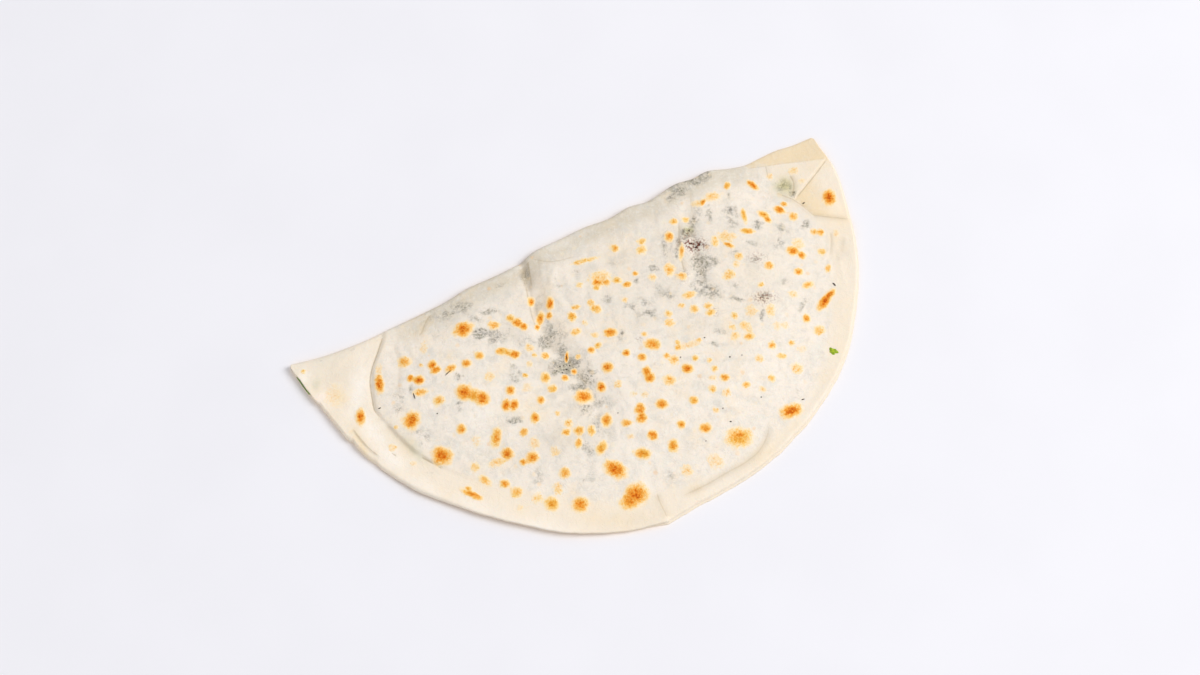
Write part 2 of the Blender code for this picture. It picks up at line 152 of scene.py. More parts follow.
# Lines on the top: points in plan, height at both ends (down is negative), width on either side of
# the line (left and right when walking along it), darkness of its thin core and of the soft shade,
# both painted shade, the core with the creased dough's darker tone as well.
VALLEY = (
    (105.5, 3), (102.9, -13), (101, -24), (99.8, -34), (100.8, -46), (103.7, -56), (106.4, -68), (106.4, -78),
    (104.4, -88), (101.5, -97),
)
DENT = ((177.0, -9.0), (173.4, -21.5), (170.5, -31.0), (168.0, -43.5), (167.0, -52.0))
CREASES = (
    # points, and at both ends the depth, the width to the right and the width to the left
    (VALLEY, (1.5, 1.5), (4.2, 10.0), (1.6, 5.0)),
    (DENT, (0.8, 0.6), (3.4, 6.0), (2.0, 4.0)),
)
CREASE_FADE = 0.75
FINE_LINES = (
    # the notch in the fold, the edge of the left lobe's flap over the valley, and the valley's bottom
    (((105.4, 2), (104.2, -4), (103.2, -9), (102.2, -15)), (-0.8, -0.3), 1.5, 1.1, 0, 1),
    (((108, 0), (105.9, -7.6), (104.3, -12.6)), (0.3, 0.1), 1.5, 0.6, 0.7, 0.4),
    (((102.4, -10.6), (100.6, -17.6), (99, -24), (98.1, -31.1)), (0.35, 0.25), 0.5, 2.2, 0.55, 0.3),
    (((102.6, -12), (100.9, -24), (100.1, -34), (100.9, -45)), (-0.3, -0.2), 1, 0.7, 0, 0.3),
    (((105.7, -45.2), (104.6, -51.4), (106, -58.3), (107.6, -62.4)), (-0.3, -0.2), 0.8, 0.8, 0.5, 0.35),
    (((97, -46), (99, -58), (101.5, -70), (101, -84)), (0.25, 0.3), 2.5, 2.2, 0, 0),
    # soft folds right of the notch, and the crinkle along the fold there
    (((111.8, -1.7), (109.3, -9.2), (105.8, -17.7)), (-0.25, -0.1), 0.9, 0.9, 0, 0.3),
    (((114, -4.9), (111.3, -12.7), (109, -19.6)), (-0.2, -0.1), 0.9, 0.9, 0, 0.2),
    (((108.8, -0.3), (116.6, -6.2), (126.3, -8.3)), (-0.12, -0.12), 0.7, 0.7, 0.35, 0.15),
    # the dent's bottom and ridge, and the short pleats beside it
    (((172.5, -12.5), (168.8, -20.2), (165.5, -29.6), (164, -36.5)), (-0.5, -0.25), 0.8, 0.8, 0.55, 0.45),
    (((162.3, -19.1), (161.4, -27.7), (158.8, -37.8)), (-0.2, -0.1), 1, 1, 0.1, 0.25),
    (((175.6, -12), (171.5, -24), (167.5, -36)), (0.35, 0.2), 1.3, 1, 0, 0),
    (((176.8, -10.5), (174.6, -22), (172, -31), (169.4, -43.8)), (-0.5, -0.3), 1.3, 1.3, 0, 0.3),
    # wrinkles by the fold, right of the middle
    (((183, -2), (180, -9), (178, -17)), (-0.35, -0.1), 0.9, 0.9, 0.2, 0.25),
    (((166, -2), (163, -9), (159, -18)), (-0.3, -0.1), 1.1, 0.9, 0, 0.15),
    (((196, -4), (197, -13), (194, -24)), (-0.25, -0.1), 1, 0.9, 0, 0.1),
    # the raised lip along the fold's middle
    (((124.4, -12.2), (135, -14.3), (146.2, -12.1), (150, -8.3)), (0.4, 0.3), 1.6, 1.4, 0, 0),
    (((121, -14.4), (135, -16.6), (148, -14.6)), (-0.25, -0.15), 1.2, 1.4, 0, 0.15),
    # the foot of the mound on the left: a crease, a soft valley and again a crease
    (
        ((41.6, -3.2), (38.1, -7.4), (33.7, -12.4), (29.7, -17), (27, -21.5), (26.1, -24.4), (24.9, -28.6),
         (23.9, -33.9), (24.9, -37.7)),
        (-0.15, -0.4), 0.5, 0.8, 0.8, 0.25,
    ),
    (((25.4, -40.5), (27.5, -47), (28.9, -51.3), (31.8, -58.4)), (-0.25, -0.2), 1.2, 1.2, 0, 0.6),
    (((33, -59.5), (36.1, -63.8), (39, -68)), (-0.3, -0.25), 0.6, 0.6, 0.75, 0.3),
    # creases on the left lobe behind its foot, and the ridge between them
    (
        ((43.1, -9.5), (41.8, -13.6), (41.6, -17.2), (40.3, -21.2), (38.4, -25.4), (33.7, -33.7)),
        (-0.3, -0.12), 1.1, 1.1, 0.08, 0.28,
    ),
    (
        ((63.9, -4.5), (60, -6.2), (57.4, -8.4), (54.3, -11.7), (52.7, -12.5)),
        (-0.25, -0.15), 0.8, 0.8, 0.45, 0.35,
    ),
    (((52.9, -8.9), (55.8, -17.5), (55.4, -24.6)), (0.3, 0.15), 1.4, 2.2, 0, 0),
    (((45.5, -14), (47, -24), (46, -33)), (-0.2, -0.1), 1.2, 1, 0, 0.12),
    # the flap by the left rim, the crinkle beside it and the soft rolls of the left margin
    (
        ((12.6, -36.6), (13.4, -40.3), (14.6, -45.2), (16.1, -49.2), (18.2, -53)),
        (0.4, 0.35), 3, 0.45, 0.6, 0.15,
    ),
    (((22.6, -52.6), (24.3, -55.3)), (-0.2, -0.2), 0.5, 0.5, 0.6, 0.1),
    (((14, -8), (22, -22), (22, -34)), (0.25, 0.2), 4, 3, 0, 0),
    (((8, -10), (12, -24), (16, -34)), (-0.25, -0.15), 3, 3, 0, 0),
    # pleats of the right margin
    (((228.5, -42.6), (227.6, -45.7), (225.3, -49.8), (223.5, -52.3)), (-0.25, -0.15), 0.6, 0.7, 0.2, 0.2),
    (((224.5, -49.5), (222.5, -51.4), (219, -53.8)), (0.25, 0.15), 0.7, 0.7, 0, 0),
    (((222, -53.5), (221.9, -55.7), (221.2, -58.2), (218.7, -61.5)), (0.25, 0.15), 0.6, 0.6, 0, 0),
    (((232.2, -46.7), (229.3, -51.4), (225.3, -56.4)), (-0.3, -0.15), 1.4, 1.4, 0, 0.35),
    (((228.4, -50.1), (225.6, -58.4), (223.6, -67.5)), (0.2, 0.1), 0.9, 0.9, 0, 0),
    (((232.5, -52), (231, -60), (226.5, -70)), (0.2, 0.1), 1.6, 1.6, 0, 0),
    # the soft groove along the lower right margin
    (
        ((200, -97.5), (189, -104.5), (178, -110.5), (166, -116), (150, -119.5), (132, -119.8)),
        (-0.1, -0.15), 1.4, 1.2, 0, 0,
    ),
    (
        ((168.5, -105.5), (164.6, -111.4), (157.9, -116.2), (151.3, -118), (143.3, -118.6), (132.3, -119.7),
         (119.8, -119.8)),
        (-0.14, -0.1), 1.2, 1.2, 0.3, 0.65,
    ),
    # folds at the bottom, over the rim
    (((88, -104), (98, -107), (106, -104)), (-0.2, -0.2), 1.6, 1.6, 0, 0.12),
    (((108.4, -110), (106, -116), (107, -124)), (-0.1, -0.1), 1.2, 1, 0, 0),
    (((113.1, -114.1), (112.5, -117.9), (112.4, -121.1), (112.3, -125.8)), (0, 0), 1, 1, 0.42, 0.6),
    # the tuck's two sides, the fold inside its triangle and the creases left of it
    (((222.1, -23.1), (227.8, -20.3), (234.7, -16.8), (243.5, -12)), (0, 0), 1, 1, 0.75, 0.15),
    (((222.8, -23.6), (224.4, -29.1), (225.9, -32.8), (229.7, -35.5), (239, -41.4)), (0, 0), 1, 1, 0.45, 0.6),
    (((237.5, -18.1), (234.7, -23.5), (230.3, -31)), (0.1, 0.05), 2.4, 1.4, 0, 0),
    (
        ((215.7, -16.8), (218.6, -20.4), (220.7, -22.8), (222.8, -26.2), (224.9, -31.3)),
        (0.2, 0.15), 0.7, 1.2, 0.5, 0.3,
    ),
    (((225.2, -11.9), (224.8, -16.5), (221.3, -21.7)), (-0.25, -0.15), 0.7, 0.7, 0.65, 0.4),
    (((217.9, -3.7), (217.1, -6.5), (216.2, -9.2)), (-0.15, -0.1), 0.6, 0.6, 0.45, 0.25),
)
LINE_ENDS = 0.14  # share of a fine line over which it fades at each end
LINE_REACH = 3.0  # the shader is told the distance to a line up to this far
SHADE_REACH = 1.5  # width of the soft shade beside a line
# The ear at the right corner, where the sheet's lower layer shows behind the fold.
EAR_LINE = ((203.0, -0.6), (209.0, -1.5), (215.0, -3.2), (227.9, -7.2), (233.7, -9.3), (246.0, -13.5))
EAR_STEP = 0.45
# Unevenness over the filling and on the margin: size of the swells and their height.
MOUND_WAVES = ((21.0, 0.28, 11), (9.0, 0.15, 12), (4.6, 0.08, 13), (2.2, 0.03, 14))
MARGIN_WAVES = ((16.0, 0.16, 21), (6.0, 0.07, 22))
WRINKLES = (7.0, 0.14, 31)
CEILING, HEADROOM = 6.85, 0.4  # above this height the swells ease off, and they rise at most so much more
MOUND_START = 7.0  # the mound's waves come up over this distance from its foot
WRINKLE_BEND, WRINKLE_STRETCH = (3.0, 14.0, 51), (1.0, 0.55)
SHOULDER_BACK, SHOULDER_LEFT, SHOULDER_RIGHT = (13.0, 5.0), (34.0, 60.0), (222.0, 200.0)
SHOULDER_CALM = 0.55  # share by which the waves are lower on the shoulder along the fold
EAR_START, TUCK_END = (204.0, 212.0), (238.0, 228.0)
MOUND_PAINT = (-1.0, 6.0)  # distances from the mound's foot over which its colour comes up
BLISTER = 0.22  # how far a toasted spot stands up
SPOT_WOBBLE = ((3.0, 0.16, 61), (1.4, 0.07, 62))  # uneven outline of the spots: size, amount and seed
CORE_SIZE = 0.8  # a spot's core against the spot
BLISTER_EDGE = (-0.3, 0.6)  # values of the toast between which a blister rises
PATCH_BEND, PATCH_FALL = (0.9, 3.2, 71), 0.75  # crooked outline of the soft patches, and how fast they fade
NO_TOAST = -1.5  # the toast's value away from all spots
SPOT_SCALE = 1.2  # a spot's edge against the size given for it
CORE_SHIFT = 0.22  # how far its darkest place may lie off its centre, as a share of its half size

# ---------------------------------------------------------------- toasted spots
# Photo x and y; length and width in mm; turn of the length against the photo's horizontal; tone,
# from 0.3 for a pale yellow one to 1.1 for a burnt one.
SPOTS_LEFT_LOBE = (
    (463.1, 329.6, 7.6, 5.6, 22, 1), (494.1, 325.5, 4.6, 3.4, 5, 0.65), (510.4, 318.1, 3.4, 2.8, -30, 0.75),
    (517.1, 322.7, 4.2, 3.4, -35, 1), (523.9, 326.7, 3.2, 3, 0, 1), (531, 302.2, 2.8, 3.8, 0, 0.85),
    (550.2, 303.6, 3, 5.2, -5, 1), (549.3, 315.4, 2.4, 3.2, 0, 0.95), (540.4, 318.5, 3, 5.2, -12, 0.9),
    (537.4, 327.2, 2, 2.6, 0, 0.95), (479.1, 355.6, 3.6, 3.4, 0, 0.75), (501.5, 351.3, 4.6, 3, -5, 0.78),
    (507.6, 352.8, 5, 2.4, -8, 0.7), (513.9, 354.4, 4.4, 3.4, -8, 1), (466.5, 363.4, 3.4, 3.3, 0, 0.95),
    (451, 368.3, 4.8, 2.8, 35, 0.72), (432.1, 365.1, 3.4, 4, 0, 1), (435.7, 370.2, 4.2, 3, 30, 0.95),
    (404.5, 362, 5, 4.2, 0, 0.68), (410.5, 378.4, 2.8, 2.8, 0, 0.95), (418.8, 380.1, 4.4, 3.6, -10, 1),
    (414.5, 379.2, 3.4, 2, -5, 0.75), (420.4, 392.1, 4.8, 3, 12, 0.62), (439, 400.7, 4.2, 3.7, 0, 0.66),
    (379.3, 383.5, 3.4, 7.6, 8, 1), (379, 370.6, 2.6, 4, 0, 0.32), (360.4, 417.2, 3.7, 6.2, 5, 1),
    (411.6, 420.6, 6, 6.8, -25, 1.02), (464.3, 392.1, 6.4, 6, -15, 1.02), (482, 398.2, 5.4, 6, 0, 1),
    (473.4, 395.1, 8, 5, -18, 0.82), (510.4, 390.6, 3.4, 4, 0, 0.9), (506.1, 405.7, 3.4, 5, 0, 1),
    (513.9, 405, 3.8, 4.6, 0, 1.02), (489.2, 376.6, 3.6, 3.4, 0, 0.36), (461.4, 429.3, 3.5, 3.8, 0, 0.85),
    (496.2, 437.6, 3.8, 7.2, -10, 0.84), (524, 432.5, 3.1, 3.2, 0, 0.78), (534.5, 418, 3.5, 4, 0, 0.9),
    (540.7, 400.2, 2.8, 3.2, 0, 0.92), (545.4, 377.7, 3.5, 4.3, 0, 0.84), (552.7, 388.8, 3.4, 3, 30, 0.66),
    (545.2, 355.7, 2.9, 3, 0, 0.7), (529.3, 348.2, 3.1, 3, 0, 0.42), (534.5, 355.5, 2, 1.9, 0, 0.5),
    (529.4, 363.7, 2.2, 2.2, 0, 0.34), (525.3, 375.5, 2.2, 1.9, 0, 0.68), (526.8, 387.5, 3.2, 3, 0, 0.27),
    (507.2, 453.8, 4.5, 4.4, 0, 0.98), (497.8, 461.8, 6.2, 2.7, 20, 0.42), (532.5, 457.5, 5, 4, 30, 0.98),
    (523.1, 462.1, 2.8, 2.6, 0, 0.82), (442.1, 455.7, 7.4, 6.8, -15, 1.04), (475, 467.1, 3.1, 3.1, 0, 0.45),
    (476, 440.9, 3, 3.2, 0, 0.28), (484.9, 480.3, 4.6, 2.9, -42, 0.56), (504.8, 484.2, 4, 3.1, -10, 0.88),
    (516.4, 492.7, 4.2, 4, 0, 0.66), (537.1, 497.9, 3.4, 3.4, 0, 0.42), (468.3, 488.4, 2.8, 2, 0, 0.68),
    (471.6, 494.3, 9, 2.5, -25, 0.92), (534.5, 442.9, 3.6, 3.8, 0, 0.34), (555.2, 451.3, 3.2, 3.2, 0, 0.4),
    (303.4, 371.5, 1.7, 1.7, 0, 0.52), (423.5, 347.4, 2.4, 4.2, 0, 0.3), (420.9, 365.4, 1.7, 1.6, 0, 0.42),
    (395.7, 427.6, 1.8, 1.6, 0, 0.4), (393, 447.8, 3, 2.5, 0, 0.38), (413.5, 463.8, 2.2, 1.8, 0, 0.3),
    (334, 395.5, 6, 7, 0, 0.22), (520.4, 507.8, 2.2, 2.2, 0, 0.3), (558, 489, 3.4, 4.2, 0, 0.4),
)
SPOTS_MIDDLE = (
    (577.4, 262.5, 3.2, 2, 12, 0.66), (586, 260.4, 9.4, 2.1, 13, 0.45), (598, 282.2, 5.4, 3.9, 10, 0.9),
    (605.6, 281.8, 3.4, 3, 0, 0.92), (596.6, 288, 2.7, 2, 0, 0.8), (600, 279, 8, 6, 10, 0.42),
    (617.2, 280.4, 3.4, 2.6, -15, 0.66), (627.1, 284.5, 3.6, 2.6, 22, 0.86),
    (635.5, 273.7, 2.3, 2.1, 0, 0.92), (579.5, 285.1, 2.6, 2.3, 0, 0.42), (614.7, 248.3, 3.2, 3.2, 0, 0.72),
    (641.5, 241.2, 3.4, 2.5, 20, 0.52), (641.6, 250.4, 3.8, 3.7, 0, 0.56), (571.9, 316.8, 3.1, 3.8, 5, 0.86),
    (575.8, 307.2, 3.5, 2.2, 15, 0.62), (590.3, 302.7, 2.8, 2.8, 0, 0.62),
    (595.8, 308.9, 4.3, 3.2, -20, 0.66), (575.9, 331.8, 3.8, 2.7, 20, 0.62),
    (594.9, 335.1, 2.7, 2.1, 0, 0.42), (610.2, 332.5, 4.8, 3.5, 0, 0.97), (591.1, 350.1, 3, 2.6, 30, 0.86),
    (597.9, 345.4, 3, 2.3, 25, 0.62), (566.6, 357.2, 1.5, 4, -5, 1.1), (578.1, 356.7, 2.3, 2, 0, 0.56),
    (573.9, 372, 2.2, 2.4, 0, 0.98), (565, 377.9, 2.9, 2.6, 25, 0.84), (601, 386.9, 3.5, 4, 0, 1),
    (583.4, 396.6, 6.6, 5.4, 15, 1), (607.9, 367.3, 4.2, 4.2, 0, 0.95), (626.3, 352.9, 2.9, 3.1, 0, 0.92),
    (642, 357.1, 3.3, 3.3, 0, 0.88), (646.8, 371.6, 3.6, 4, 0, 0.95), (650, 377.6, 3.8, 4, -20, 0.95),
    (652.3, 344.2, 6.4, 4.4, -5, 0.84), (677.6, 342.4, 2, 1.9, 0, 0.7), (677.7, 347.5, 2.5, 2.3, 0, 0.76),
    (690, 345, 6.8, 2.4, 20, 0.34), (699.1, 340.2, 2, 1.8, 0, 0.6), (666.8, 355.9, 2.4, 2.3, 0, 0.62),
    (673.6, 360, 3.8, 3.7, 0, 0.52), (669.2, 379.6, 4.4, 3.6, 0, 0.56), (687.5, 368.5, 4.3, 3.7, 0, 0.96),
    (644.6, 334.1, 2.3, 2, 0, 0.52), (624.8, 299.6, 2.3, 2.1, 0, 0.42), (584.7, 323, 2.3, 2, 0, 0.36),
    (617.9, 383.9, 2.6, 2.7, 0, 0.42), (633.2, 394, 2.4, 2.3, 0, 0.28), (644.7, 394.4, 2.6, 2.5, 0, 0.3),
    (606.4, 420.5, 4, 4.9, 0, 0.92), (626.7, 422.9, 4.1, 2.9, 0, 0.72), (640.1, 409.3, 3.9, 4.8, 0, 0.93),
    (641.6, 417.6, 4, 4.2, 0, 0.92), (662, 404.1, 4.8, 3.6, 12, 0.96), (578.8, 430.6, 3.7, 3.5, 0, 0.78),
    (566, 432.2, 3, 2.7, 0, 0.8), (568.6, 423.5, 3, 3, 0, 0.5), (591.4, 430.5, 2.9, 4.1, 0, 0.66),
    (578.4, 442.9, 2.7, 3.5, 0, 0.76), (601.6, 447.6, 3.6, 5.2, -25, 0.86), (557.3, 413.3, 2.1, 2, 0, 0.6),
    (555.3, 451, 3.4, 3.2, 0, 0.3), (565, 472.9, 4, 4.1, 0, 0.78), (615.5, 469.4, 8.4, 5.8, -25, 1.03),
    (636.2, 494.4, 8.4, 8, 0, 1), (630.2, 500.6, 7.4, 6.4, 30, 0.95), (580.4, 504.6, 6, 5.7, 0, 0.9),
    (551.8, 504.1, 5.1, 5.2, 0, 0.86), (642.7, 453.7, 6.2, 4.1, -10, 0.86), (630.8, 436.7, 2.4, 1.9, 0, 0.3),
)
SPOTS_RIGHT_LOBE = (
    (669, 236.9, 3.3, 4.3, 0, 0.92), (673.5, 221.8, 3.1, 2.5, 10, 0.72), (685.7, 219.8, 3, 2.3, 0, 0.58),
    (681.4, 252, 2, 6.6, -6, 0.68), (682.1, 276.4, 3.6, 3.2, 0, 0.58), (669.4, 269.6, 4.2, 4.6, 0, 0.6),
    (652.4, 277.2, 3, 2.9, 0, 0.42), (689.4, 294.8, 5.2, 2.8, 17, 0.62), (682.1, 305.6, 2.5, 2.2, 0, 0.52),
    (694.5, 309, 3.4, 3.2, 0, 0.55), (708, 305.7, 3, 2.4, 10, 0.52), (710.6, 312.7, 3.8, 2.7, 12, 0.68),
    (668.5, 313.8, 3.1, 2.5, 0, 0.5), (669.9, 322.6, 3.8, 2.9, 10, 0.46), (695.2, 358.1, 2.6, 2.5, 0, 0.75),
    (709.6, 360, 2.3, 2, 0, 0.52), (714.6, 368.4, 2.5, 2.5, 0, 0.64), (724.7, 377.2, 4, 3, 0, 0.8),
    (712.5, 388.6, 3.1, 2.8, 0, 0.62), (726.6, 392.7, 3, 2.8, 0, 0.4), (693.8, 400.2, 3.6, 3, 0, 0.86),
    (716, 410.3, 2.3, 2.1, 0, 0.42), (681.4, 424.6, 3.2, 3.2, 0, 0.92), (705.7, 428.2, 4.4, 3.7, 0, 0.97),
    (652.9, 435.3, 3.9, 3.9, 0, 0.96), (673.3, 445.8, 4, 4.6, 0, 0.9), (739.2, 437.9, 9.8, 7, 10, 0.8),
    (738.6, 435.6, 6.8, 3.6, 10, 0.9), (715.5, 461.3, 5.6, 4.8, 0, 0.32), (686.9, 470.5, 4, 3.9, 0, 0.38),
    (790.8, 411, 8.2, 5.2, 22, 1.05), (746.3, 384.9, 2.9, 2.5, 0, 0.7), (762.9, 389.2, 2.4, 2.5, 0, 0.36),
    (771.6, 378.2, 2.9, 2.4, -30, 0.62), (796.9, 368.4, 4.3, 3.6, 0, 0.42), (759.5, 358.6, 3.1, 2.9, 0, 0.42),
    (781.8, 356, 3.8, 2, 0, 0.6), (771.9, 345.4, 3, 3.1, 0, 0.66), (791.6, 343.1, 2.4, 2.2, 0, 0.52),
    (801.4, 348.9, 3.6, 2.2, 0, 0.22), (749.1, 336.5, 4.2, 2.8, 0, 0.76), (735.3, 335.7, 3.5, 3, 0, 0.44),
    (732.6, 327.2, 2.7, 2.4, 0, 0.42), (744.7, 325.3, 3.3, 3, 0, 0.44), (748.4, 329.6, 3, 2.8, 0, 0.38),
    (734.2, 315.5, 2.6, 3.1, 0, 0.54), (751.4, 311.2, 4.2, 3.8, 0, 0.36), (770.4, 310.4, 3.2, 4.8, -8, 0.42),
    (777.3, 325.8, 2.9, 2.8, 0, 0.3), (785.2, 325.2, 2.9, 2.4, 0, 0.3), (712.4, 377.6, 2.6, 1.8, 0, 0.34),
    (819.2, 330.4, 4.2, 3.6, 10, 0.56), (806.5, 318.6, 2.9, 3.3, 0, 0.9), (824.8, 301.2, 8.6, 3.6, 55, 1.08),
    (828.6, 296, 7, 2.6, 48, 1.05), (807.7, 285, 4.3, 2.5, 20, 0.62), (792.7, 294.2, 3.1, 3, 0, 0.34),
    (760.7, 284.6, 2.6, 2.2, 15, 0.48), (768.6, 265.6, 3.5, 3.4, 0, 0.74), (798.7, 271.8, 3.6, 2.8, 15, 0.84),
    (793.2, 250.9, 4.6, 3.9, 0, 0.98), (801.5, 255.2, 3.2, 2.9, -20, 1.02), (797.7, 244.4, 4.4, 4.2, 0, 0.36),
    (814.3, 231.8, 3.1, 2.5, 0, 0.66), (820.4, 232.3, 3, 2.7, -20, 0.78), (821.9, 252, 2.9, 2.8, 0, 0.6),
    (828, 268.4, 2.2, 3.3, 0, 0.6), (728.6, 244.9, 4.2, 2, -25, 0.94), (726.4, 236.8, 6.6, 4, -5, 0.4),
    (714.8, 241.2, 3, 4, 0, 0.45), (738.8, 256.4, 2.8, 3, 0, 0.52), (736, 264, 2.4, 2.8, 0, 0.4),
    (728.8, 274.9, 4.4, 3.8, 0, 0.48), (744, 215.8, 2.1, 6.4, 10, 0.74), (747.1, 231.1, 5.4, 2.4, -5, 0.84),
    (763.4, 214.6, 4.4, 3, -20, 0.84), (767.2, 219.3, 3.6, 2.5, -50, 0.96), (779.6, 210, 4.8, 3.1, -28, 1.02),
    (784, 204, 2.7, 2.1, -15, 0.76), (793.4, 216.4, 3.6, 3.3, 0, 0.68), (752.6, 185.2, 5.2, 2.9, -40, 1.02),
    (727.2, 185.9, 2.5, 3.8, -12, 0.9), (702.8, 202.4, 3.8, 2, 50, 1), (711.8, 196.6, 6, 3.6, 15, 0.44),
    (697, 203.6, 4.6, 2.8, 0, 0.38), (829, 197.3, 5.3, 6.2, 0, 1.06), (793.1, 171.3, 3.6, 3, 0, 0.36),
    (801.4, 180.6, 2.4, 1.9, 0, 0.3), (770.1, 176.8, 2.2, 2.8, 0, 0.34), (835.6, 233.6, 2.2, 2.4, 0, 0.3),
)
SPOTS_BELOW = 46  # toasted spots of the underside, strewn at random
SPOTS_BELOW_SIZE = (2.5, 8.0)
SPOTS_BELOW_AREA = ((8.0, -120.0), (238.0, -6.0))
SPOTS_BELOW_MARGIN = 8.0  # how far beyond the mound's foot they may lie

# ---------------------------------------------------------------- greens that show through the dough
# Photo x and y, length and width in mm, turn, strength.
GREENS = (
    # along the fold
    (462, 308.6, 9, 4.5, 35, 0.52), (452, 313.5, 7, 3.5, 30, 0.55), (489.8, 311.2, 7, 2.6, 5, 0.75),
    (474, 318, 5, 3, -20, 0.55), (430, 318, 8, 3, 30, 0.45), (440, 330, 9, 5, 60, 0.3),
    (681.3, 190.6, 9, 6, 30, 0.8), (695.1, 181.6, 9, 4.5, 20, 0.72), (705.8, 176.6, 6, 3.2, 15, 0.76),
    # the patch at 525.5, 277 stands for the shade in the fold's notch
    (672, 197, 7, 4, 30, 0.55), (650, 205, 8, 3.5, 25, 0.3), (525.5, 277, 3.5, 7, -10, 0.65),
    (500, 286, 9, 4, 30, 0.35), (600, 232, 12, 4, 25, 0.22),
    # the left lobe
    (482.9, 333.6, 7, 4.2, 5, 1.05), (496.6, 339.6, 8.5, 3.8, 10, 0.6), (459.6, 375.8, 5, 3, 10, 0.75),
    (517.3, 375.8, 5.5, 5.5, 0, 0.62), (513.5, 367, 4, 4, 0, 0.5), (400.2, 398.2, 5.5, 8, 10, 0.42),
    (398, 408.5, 4.5, 3.5, 0, 0.45), (410, 389, 3, 5, 10, 0.45), (424.3, 437.8, 5, 7, -20, 0.42),
    (417, 431, 6, 3.5, 0, 0.35), (514.7, 419.7, 5.5, 2.8, -5, 0.92), (460.6, 404, 2.8, 6.5, -15, 0.5),
    (505, 330.5, 5, 5, 0, 0.4), (540, 475, 6, 8, 0, 0.35), (533, 480, 7, 5, -20, 0.35),
    (432, 472, 6, 3, -25, 0.35), (480, 415, 8, 10, 0, 0.22),
    # the valley and its sides; the wide patches there also paint the shade of its right flank
    (550.5, 328, 7, 8, 0, 0.52), (545.5, 343.5, 6.5, 7, 0, 0.85), (553, 336, 6, 6, 0, 0.72),
    (563, 353, 4.5, 9, 10, 0.62), (561.5, 368, 9, 6.5, 10, 1.15), (568, 366, 4.5, 6, 10, 1.25),
    (575.5, 363, 5.5, 8, 0, 0.75), (588.5, 378, 9, 7.5, -20, 0.72), (579.6, 388.5, 8, 6, 0, 0.75),
    (599.5, 402, 9, 8, 0, 0.38), (586, 408, 7, 6.5, 0, 0.62), (606, 437, 5.5, 9, 0, 0.28),
    (583, 444, 6, 8, 10, 0.48), (594, 452, 10, 4, -10, 0.42), (540, 300, 5, 12, -12, 0.35),
    (590, 478, 10, 4, 10, 0.35), (556, 340, 12, 17, -15, 0.38), (577, 371, 12, 14, -30, 0.46),
    (591, 398, 11, 14, -20, 0.4), (596, 424, 9, 13, 0, 0.38), (450, 311, 17, 5, 32, 0.48),
    (500, 331, 13, 9, 10, 0.42), (528, 345, 10, 9, 0, 0.36), (668, 250, 8, 20, 0, 0.34),
    # the middle
    (643.9, 302.7, 9, 5, 5, 0.42), (648.5, 313.8, 10, 4.5, -5, 0.55), (631, 306, 6, 5, 0, 0.5),
    (653, 267.6, 4.5, 3, -20, 0.72), (574.5, 272, 6, 5, 0, 0.35), (607.2, 299.6, 4, 3.5, 0, 0.55),
    (621, 333.4, 2.6, 5, 0, 0.55), (636.2, 281, 2, 4, -8, 0.7), (664.5, 244, 3, 12, -4, 0.55),
    (560, 283, 6, 6, 0, 0.35), (612, 262, 8, 4, 10, 0.25), (658, 290, 8, 6, 0, 0.35),
    (672, 474, 4, 7, -20, 0.35), (562, 487, 5, 8, 0, 0.35),
    # the dent and the right lobe
    (687, 234, 5.5, 5, 20, 1.05), (697, 245, 7.5, 4, -10, 0.75), (698.5, 212, 3.6, 8.5, 0, 0.36),
    (709, 214.5, 3.4, 8, 5, 0.54), (700.5, 263.5, 8, 8, 0, 0.95), (712.5, 262.5, 5.5, 4, 10, 0.68),
    (700.7, 278.5, 4.5, 9, 0, 0.76), (711, 291.5, 10, 6.5, 0, 0.7), (697, 287.5, 6, 5, 0, 0.6),
    (678.2, 248, 2.2, 9, -4, 0.88), (692, 222, 4.5, 5.5, 0, 0.7), (730.3, 213, 6.5, 5.5, 0, 0.7),
    (728.8, 195.4, 3.4, 3, 0, 0.6), (733, 222.5, 4, 4.5, 0, 0.65), (759.4, 224.3, 5.4, 4.5, 0, 0.68),
    (782.5, 228.8, 5, 5, 20, 0.55), (779.5, 243, 4, 6, -20, 0.5), (805.4, 224.4, 3.4, 5, 0, 0.6),
    (782.4, 185.8, 7.5, 7, 0, 0.48), (791, 189.5, 2.4, 8, 10, 0.9), (750, 242.5, 7, 2.6, -15, 0.48),
    (783.9, 281, 5.5, 4.5, 0, 0.35), (763.3, 296.4, 7.8, 3.6, 5, 0.55), (738.9, 299.8, 6, 2.2, -15, 0.7),
    (714.7, 343.2, 3, 1.6, -15, 0.75), (802.4, 304.4, 2.4, 6.5, -28, 0.56), (762.2, 314.2, 1.8, 6.5, 8, 0.66),
    (721, 331, 8, 3, 0, 0.4), (667.5, 296, 5.5, 4.5, 0, 0.5), (735, 252, 4, 3.5, 0, 0.45),
    (797.5, 392, 4, 6, 0, 0.3), (754.8, 258.6, 6, 2.6, 10, 0.5), (736, 285, 8, 4, 0, 0.35),
)
